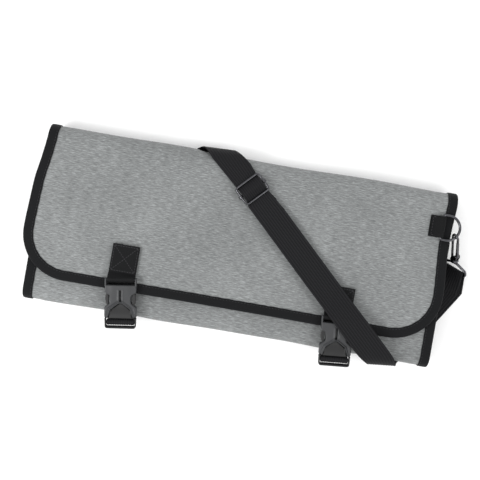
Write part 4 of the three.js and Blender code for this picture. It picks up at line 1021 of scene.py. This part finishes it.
slider = {"x": 3, "below": 33, "across": 30, "along": 21.2, "wire": 1.2, "corner": 3, "collar": 3.6,
          "exit": 25}
strap = {"bottomBend": 6, "topBend": 2.4, "turnInset": 52.5, "bottomStandOff": 5.4, "bottomClimb": 0.25,
         "topStandOff": 7.6, "topClimb": 0.6, "eyeWay": 83, "part": 6, "rise": 27}
sliderY = topFold - slider["below"]
turnX, turnY = roll["length"] / 2 - strap["turnInset"], bottomFold - strap["bottomStandOff"]
frontAngle = math.atan2(turnY - sliderY, turnX - slider["x"]) / degree
sliderHeight = flapTop + gap + 3 * strapThick + 3 * gap + slider["wire"]
sliderAt = axes(vec(slider["x"], sliderY, sliderHeight), heading(frontAngle), heading(frontAngle + 90), up)
sliderRound = slider["wire"] + gap + strapThick / 2


def metalPiece(name, shells, node, body="bag"):
    addPiece(name, shells, nickel, [node], body=body)


def sliderFrame():
    a, b, r = slider["along"] / 2, slider["across"] / 2, slider["corner"]
    return wire(rectangle(a, -b, b, r, 6), sliderAt, slider["wire"], True, 20)


def sliderBar():
    # The centre bar, and a rolled collar round the frame at each of its ends
    inner = slider["wire"] + gap
    outer = inner + slider["wire"]
    half, bevel, count = slider["collar"] / 2, 0.35, 28
    ring = np.array([(inner, -half), (outer - bevel, -half), (outer, bevel - half), (outer, half - bevel),
                     (outer - bevel, half), (inner, half)])
    angle = 2 * np.pi * np.arange(count) / count
    shells = []
    for side in (-1, 1):
        centre = place(sliderAt, 0, side * slider["across"] / 2, 0)
        at = axes(centre, sliderAt["y"], sliderAt["x"], sliderAt["z"])
        points = place(at, ring[:, :1] * np.cos(angle), ring[:, 1:], ring[:, :1] * np.sin(angle))
        shells.append(gridShell(points, closedRows=True))
    reach = slider["across"] / 2 - inner - 0.1
    shells.append(wire(np.array([[0, -reach], [0, reach]]), sliderAt, slider["wire"]))
    return shells


metalPiece("slider_wire", sliderFrame(), "slider_frame")
metalPiece("slider_crossbar", sliderBar(), "slider_bar")


# Rings and their tabs

ring = {"wire": 1.5, "depth": 19.5, "inset": 13.9, "rearInset": 25.9, "below": 38.5, "corner": 2.4,
        "tabWidth": 23.5, "tabLength": 12}
ringHalf = ring["tabWidth"] / 2 + gap + ring["wire"]
ringX, ringY = roll["length"] / 2 - ring["inset"], topFold - ring["below"]
ringHeight = flapEndTop + proud + 2 * gap + strapThick + ring["wire"]
rearRingX, rearRingHeight = ring["rearInset"] - roll["length"] / 2, backUnderside / 2 + 0.4
frontRing = axes(vec(ringX, ringY, ringHeight), heading(0), heading(90), up)
rearRing = axes(vec(rearRingX, -ringY, rearRingHeight), heading(0), heading(90), up)


def ringWire(at):
    centre = ring["depth"] - ringHalf
    corners = roundedPath([(centre, ringHalf, 0), (0, ringHalf, ring["corner"]),
                           (0, -ringHalf, ring["corner"]), (centre, -ringHalf, 0)], False, 10)
    angle = np.linspace(-math.pi / 2, math.pi / 2, 34)[1:-1]
    bow = np.column_stack([centre + ringHalf * np.cos(angle), ringHalf * np.sin(angle)])
    return wire(np.vstack([corners, bow]), at, ring["wire"], True, 20)


def ringTab(at, caseAt, toCase):
    barRound = ring["wire"] + gap + strapThick / 2
    outer = caseAt - toCase * (gap + strapThick / 2) - at["origin"][2]
    inner = outer - toCase * layer
    guides = [(-ring["tabLength"] - 1, outer), (-ring["tabLength"] + 5, outer), (0, 0, barRound, -toCase),
              (-ring["tabLength"] + 5, inner), (-ring["tabLength"], inner)]
    plane = axes(at["origin"], at["x"], at["y"], up)
    return webbingBand(layBelt(belt(guides), plane, width=ring["tabWidth"]), ribs=False)


def ringPoint(at, angle):
    centre = ring["depth"] - ringHalf
    return place(at, centre + ringHalf * math.cos(angle * degree), ringHalf * math.sin(angle * degree), 0)


def ringStitches():
    inset, sunk, start, end = 2, 0.1, 1.6, 7.4
    sewnAt = frontRing["origin"] + vec(-ring["tabLength"], 0, 0)
    innerTop = flapEndTop + gap + layer + strapThick - frontRing["origin"][2]
    return patchStitches(axes(sewnAt, heading(90), heading(0), up), ring["tabWidth"] / 2 - inset, start, end,
                         innerTop - sunk, cross=False)


metalPiece("front_ring_wire", ringWire(frontRing), "front_ring")
metalPiece("rear_ring_wire", ringWire(rearRing), "rear_ring")
addPiece("front_ring_webbing", ringTab(frontRing, flapEndTop, -1), tabBlack,
         ["front_ring_tab"], 50)
addPiece("rear_ring_webbing", ringTab(rearRing, backUnderside, 1), tabBlack,
         ["rear_ring_tab"], 50)
addPiece("front_ring_stitches", ringStitches(), threadBlack)
print("rings made")


# The shoulder strap's way: sewn round the slider's bar, down the front over the right buckle, round the
# bottom fold, along under the right end to the hook's eye, back the same way outside itself, through the
# slider, over the top fold and under the back to the hidden hook

hook = {"length": 47.5, "rearLength": 43.5, "eyeHeight": 12.4, "eyeStandOff": 13.7, "eyeBarAngle": -25,
        "wire": 1.4, "bow": 4.2, "eyeWire": 1.4, "eyeAcross": 31.2, "pin": 0.8, "tipReach": 4.2, "cheek": 1,
        "collarAt": 30, "collarLength": 4, "stem": 1.5, "pivotAt": 24.5, "rearLink": 24}
frontWay = heading(frontAngle)
floorLayer = strapThick / 2
rightBuckle = buckleFrame(sides[1])
buckleTopHeight = rightBuckle["origin"][2] + buckle["thickness"]


def bendFrame(origin, way, bendAngle):
    y = heading(bendAngle)
    x = np.cross(up, y)
    x = x * math.copysign(1, x @ way)
    at = axes(origin, x, y, up)
    at["drift"] = (way @ y) / (way @ x)
    return at


def hookFrame(grip, eye, ringAlong):
    y = unit(eye - grip)
    z = unit(ringAlong - y * (ringAlong @ y))
    return axes(grip, np.cross(y, z), y, z)


def sliderLayers():
    outerExit = -1.45
    rail = (slider["along"] / 2, 0)
    sewn = belt([(slider["exit"] - 1, outerExit - 2 * layer), (*rail, sliderRound + 2 * layer, -1),
                 (0, 0, sliderRound, -1), (*rail, sliderRound + layer, 1),
                 (slider["exit"], outerExit - layer)])
    through = belt([(slider["exit"], outerExit), (*rail, sliderRound, -1), (0, 0, sliderRound + layer, 1),
                    (-rail[0], 0, sliderRound, -1), (-slider["exit"] + 4, -3)])
    return sewn, through, outerExit


def bottomGuides(start, at):
    bendRound, shoulderRound, dip, floorRun, beforeTab = 15, 9, 90, 34, 8

    def crossing(x, y):
        return float((vec(x, y, 0) - at["origin"]) @ at["x"])

    right = sides[1]["x"]
    highest = buckleTopHeight + gap + strapThick / 2 + layer
    tabHeight = flapEndTop + 3 * layer + 2 * gap + strapThick / 2
    overTab = crossing(right - 0.7 * webbing["tabWidth"], sides[1]["tabTop"] + beforeTab)
    overSocket = crossing(right + buckle["armSlot"], -buckle["top"] - buckle["slotEnd"] / 2)
    crest = crossing(turnX, turnY) - strapThick / 2
    return [(0, start), (overTab, tabHeight + dip, dip, 1),
            (overSocket, highest - shoulderRound, shoulderRound, -1),
            (crest - bendRound, highest - bendRound, bendRound, -1),
            (crest - bendRound, floorLayer + bendRound, bendRound, -1), (crest - floorRun, floorLayer)]


def frontToRear(inner):
    leaves = place(sliderAt, slider["exit"], 0, 0)
    at = bendFrame(vec(leaves[0], leaves[1], 0), frontWay, strap["bottomBend"])
    guides = bottomGuides(sliderHeight + sliderLayers()[2], at)
    return layBelt(belt(innerLayer(guides) if inner else guides), at, at["drift"], strap["bottomClimb"])


innerRun, outerRun = frontToRear(True), frontToRear(False)
frontGrip, rearGrip = ringPoint(frontRing, -40), ringPoint(rearRing, 46)
eyeX = roll["length"] / 2 + hook["eyeStandOff"]
eyeAside = vec(eyeX - frontGrip[0], 0, frontGrip[2] - hook["eyeHeight"])
eyeReach = math.sqrt(hook["length"] ** 2 - eyeAside @ eyeAside)
frontEye = vec(eyeX, frontGrip[1] - eyeReach, hook["eyeHeight"])
frontHook = hookFrame(frontGrip, frontEye, heading(50))
eyeWay = heading(strap["eyeWay"])
levelBar = heading(hook["eyeBarAngle"] + 180)
frontBarWay = unit(levelBar - up * (levelBar @ frontHook["y"]) / frontHook["y"][2])
topExit = place(sliderAt, -slider["exit"] + 4, 0, 0)
topAt = bendFrame(vec(topExit[0], topExit[1], 0), -frontWay, strap["topBend"])


def topGuides():
    highest = flapTop + gap + strapThick / 2
    bendRound = (highest - floorLayer) / 2
    beyond = topFold + strap["topStandOff"] - strapThick / 2 - topExit[1]
    crest = beyond * math.cos(strap["topBend"] * degree)
    return [(0, sliderHeight - 3), (crest - bendRound, floorLayer + bendRound, bendRound, -1),
            (crest - bendRound - 12, floorLayer)]


topRun = layBelt(belt(topGuides()), topAt, topAt["drift"], strap["topClimb"])
topEnd = topRun["at"][-1]
rearWay = unit((rearGrip - topEnd) * vec(1, 1, 0))
rearBarHeight = floorLayer + hook["eyeWire"] + gap + strapThick / 2 + 0.8
rearEye = vec(rearGrip[0], rearGrip[1], rearBarHeight) - rearWay * hook["rearLength"]
rearBarWay = np.cross(up, rearWay)
rearHook = hookFrame(rearGrip, rearEye, rearBarWay)
eyeRound = hook["eyeWire"] + gap + strapThick / 2


def pinched(part, centre, near, narrow):  # webbing drawn in to a narrower width near a place
    away = np.linalg.norm(part["at"] - centre, axis=1)
    width = narrow + (webbing["width"] - narrow) * smooth((away - near) / near)
    return {**part, "width": np.minimum(part["width"], width)}


def roundEye(eye, way, barWay, arrive, leave, turn):
    # Webbing that comes along the floor, turns round an eye's bar and goes back
    x = unit(way - barWay * (way @ barWay))
    at = axes(eye, x, barWay, np.cross(x, barWay))

    def local(point):
        return float((point - eye) @ at["x"]), float((point - eye) @ at["z"])

    return cut(layBelt(belt([local(arrive), (0, 0, eyeRound, turn), local(leave)]), at), 1, -1)


def shoulderStrap():
    sewn, through, _ = sliderLayers()
    rise = strap["rise"]

    def approach(way, eye, height, back, aside=0):
        across = np.cross(up, way)
        target = eye - way * back + across * aside
        return station(vec(target[0], target[1], height), across, webbing["width"])

    innerArrive = approach(eyeWay, frontEye, floorLayer + layer, rise, strap["part"] / 2)
    outerLeave = approach(eyeWay, frontEye, floorLayer, rise - 4, -strap["part"] / 2)
    rearArrive = approach(rearWay, rearEye, floorLayer, rise)
    rearLeave = approach(rearWay, rearEye, floorLayer + layer, rise - 1)
    narrow = webbing["width"] - 2.8

    def flip(part):  # turns the ways across, so that the webbing isn't twisted at the front eye
        return {**part, "across": -part["across"]}

    sewnLoop = pinched(layBelt(sewn, sliderAt), sliderAt["origin"], 9, slider["across"] - 6.4)
    threaded = pinched(layBelt(through, sliderAt), sliderAt["origin"], 14,
                       slider["across"] - 2 * slider["wire"] - 4 * gap)
    frontLoop = roundEye(frontEye, eyeWay, frontBarWay, innerArrive["at"][0], outerLeave["at"][0], -1)
    rearLoop = roundEye(rearEye, rearWay, rearBarWay, rearArrive["at"][0], rearLeave["at"][0], 1)
    return webbingBand(chain([
        cut(sewnLoop, None, -1), innerRun, flip(innerArrive), pinched(flip(frontLoop), frontEye, 4, narrow),
        flip(outerLeave), cut(outerRun, None, None, -1), cut(threaded, 1, -1), cut(topRun, 1), rearArrive,
        pinched(rearLoop, rearEye, 4, narrow), rearLeave]), spacing=3)


addPiece("long_strap_webbing", shoulderStrap(), strapBlack, ["shoulder_strap"], 50)
print("shoulder strap made")


# The case, now that what presses on it is known

panel = casePanel()
print("case made")


# Hooks

def eyeLoop(at, barWay, length):
    z = unit(np.cross(barWay, at["y"]))
    flat = axes(at["origin"], barWay, np.cross(z, barWay), z)
    top = hook["collarAt"] + hook["collarLength"] + hook["eyeWire"] + 1
    half = hook["eyeAcross"] / 2
    loop = roundedPath(mirrored([(4, top, 2), (half, length - 6, 3), (half, length, 1.8)]), True, 8)
    return flat, top, wire(loop, flat, hook["eyeWire"], True, 18)


def hookEye():
    flat, top, loop = eyeLoop(frontHook, frontBarWay, float(np.linalg.norm(frontGrip - frontEye)))
    head = hook["collarAt"] - gap
    stem = turned([(0.01, head - 1.8), (1.2, head - 1.7), (2.0, head - 1.1), (2.3, head - 0.3), (2.3, head),
                   (hook["stem"], head), (hook["stem"], top), (0.01, top + 0.3)], flat)
    return [loop, stem]


def hookBody():
    # One wire bent to a spine and bow, a turned collar, and two cheeks with a riveted pin for the gate
    grip = hook["bow"] - hook["wire"] - ring["wire"] - gap
    tip = grip + hook["tipReach"]
    bow, stem, pivot = hook["bow"], hook["stem"] + gap, hook["pivotAt"]
    low, high = hook["collarAt"], hook["collarAt"] + hook["collarLength"]
    bend = bow - 0.01
    path = roundedPath([(-bow, low + 1, 0), (-bow, grip - bow, bend), (bow, grip - bow, bend), (bow, tip, 0)],
                       False, 8)
    collar = turned([(stem, low), (4.1, low), (4.6, low + 0.25), (4.8, low + 0.8), (4.5, low + 1.3),
                     (4.5, high - 1.3), (4.8, high - 0.8), (4.6, high - 0.25), (4.1, high), (stem, high)],
                    frontHook, 40)
    outline = roundedPath([(2, low + 1, 0.3), (bow - 1.8, pivot - 2, 1), (bow + 1.8, pivot - 2, 1.4),
                           (bow + 1.8, pivot + 1.5, 1), (4, low + 1, 0.3)], True, 15)
    shells = [wire(path, frontHook, hook["wire"], False, 18), collar]
    start = hook["wire"] + gap
    for side in (-1, 1):
        reach = sorted((side * start, side * (start + hook["cheek"])))
        shells.append(mouldedPlate(frontHook, lambda x, y: insideDistance(x, y, outline),
                                   (1, bow + 2.4, pivot - 3, low + 2),
                                   reach[1], reach[0], 0.25, 0.25))
    pinAt = axes(place(frontHook, bow, pivot, 0), frontHook["x"], frontHook["z"], frontHook["y"])
    end = start + 1.25
    shells.append(turned([(0.01, -end), (0.9, -end), (1.2, -end + 0.35), (hook["pin"], -end + 0.4),
                          (hook["pin"], end - 0.4), (1.2, end - 0.35), (0.9, end), (0.01, end)], pinAt, 20))
    return shells


def hookGate():
    # A flat sprung tongue with a round eye at its pin, and its far end against the bow's tip
    bow, pivot = hook["bow"], hook["pivotAt"]
    tip = bow - hook["wire"] - ring["wire"] + hook["tipReach"]
    look = {"eye": 1.9, "tipHalf": 1.2, "widens": 0.5, "margin": 2.4}

    def inside(x, y):
        fromPin = np.hypot(x - bow, y - pivot)
        taper = look["tipHalf"] + look["widens"] * smooth((y - pivot + 7) / 6)
        tongue = np.minimum(taper - np.abs(x - bow), np.minimum(y - tip, pivot - y))
        return np.minimum(np.maximum(look["eye"] - fromPin, tongue), fromPin - hook["pin"] - gap)

    reach = (bow - look["margin"], bow + look["margin"], tip - 1, pivot + look["margin"])
    return mouldedPlate(frontHook, inside, reach, hook["wire"], -hook["wire"], 0.35, 0.22)


def rearHookWire():
    flat, top, loop = eyeLoop(rearHook, rearBarWay, float(np.linalg.norm(rearGrip - rearEye)))
    half, bend, end = 3, 2.9, hook["rearLink"]
    link = wire(rectangle(half, -half, end, bend, 10), rearHook, 1.2, True)
    stem = turned([(0.01, end - 1.4), (2.0, end - 1.2), (2.4, end - 0.8), (2.4, top - 0.4), (2.0, top),
                   (0.01, top + 0.3)], flat)
    return [link, loop, stem]


metalPiece("front_hook_wire", hookBody(), "front_hook")
metalPiece("front_gate_tongue", hookGate(), "front_hook_gate", "hook_gate")
metalPiece("front_eye_wire", hookEye(), "front_hook_eye")
metalPiece("rear_hook_wire", rearHookWire(), "rear_hook")
print("hooks made")


# Floor, light and camera

studio = {"floor": "#fbfbfb", "floorHalf": 12.0, "floorDrop": 0.0004, "world": 1.12, "sensor": 36,
          "distance": 1050, "frameWidth": 532.3, "aimX": -0.8, "aimY": 7.2, "aimZ": 17, "roll": 9.9}
lights = [
    {"name": "key", "from": (-0.75, -0.35, 0.95), "to": (-0.05, 0, 0), "size": (0.5, 0.4), "power": 7},
    {"name": "fill", "from": (0.9, -0.35, 1.1), "to": (0.1, 0, 0), "size": (0.7, 0.5), "power": 4},
]


def floorPlane():
    size, z = studio["floorHalf"], -studio["floorDrop"]
    mesh = bpy.data.meshes.new("studio_floor")
    corners = [(-size, -size, z), (size, -size, z), (size, size, z), (-size, size, z)]
    mesh.from_pydata(corners, [], [(0, 1, 2, 3)])
    material, _, _ = newMaterial("paleStudioFloor", {"Base Color": rgb(studio["floor"]), "Roughness": 0.9})
    mesh.materials.append(material)
    floor = bpy.data.objects.new("studio_floor", mesh)
    bpy.context.scene.collection.objects.link(floor)


def areaLight(one):
    light = bpy.data.lights.new(one["name"], "AREA")
    light.shape = "RECTANGLE"
    light.size, light.size_y = one["size"]
    light.energy = one["power"]
    lamp = bpy.data.objects.new(one["name"], light)
    lamp.location = one["from"]
    way = Vector(one["to"]) - Vector(one["from"])
    lamp.rotation_euler = way.to_track_quat("-Z", "Y").to_euler()
    bpy.context.scene.collection.objects.link(lamp)


floorPlane()
world = bpy.data.worlds.new("studio")
world.use_nodes = True
world.node_tree.nodes["Background"].inputs["Color"].default_value = (1, 1, 1, 1)
world.node_tree.nodes["Background"].inputs["Strength"].default_value = studio["world"]
bpy.context.scene.world = world
for one in lights:
    areaLight(one)
bpy.context.scene.view_settings.view_transform = "Standard"

lens = bpy.data.cameras.new("camera")
lens.sensor_width = studio["sensor"]
lens.lens = studio["sensor"] * studio["distance"] / studio["frameWidth"]
lens.clip_end = 20
camera = bpy.data.objects.new("camera", lens)
camera.location = (vec(studio["aimX"], studio["aimY"], studio["aimZ"] + studio["distance"]) + toPacked) / 1000
camera.rotation_euler = (0, 0, studio["roll"] * degree)
bpy.context.scene.collection.objects.link(camera)
bpy.context.scene.camera = camera
print("stage set")
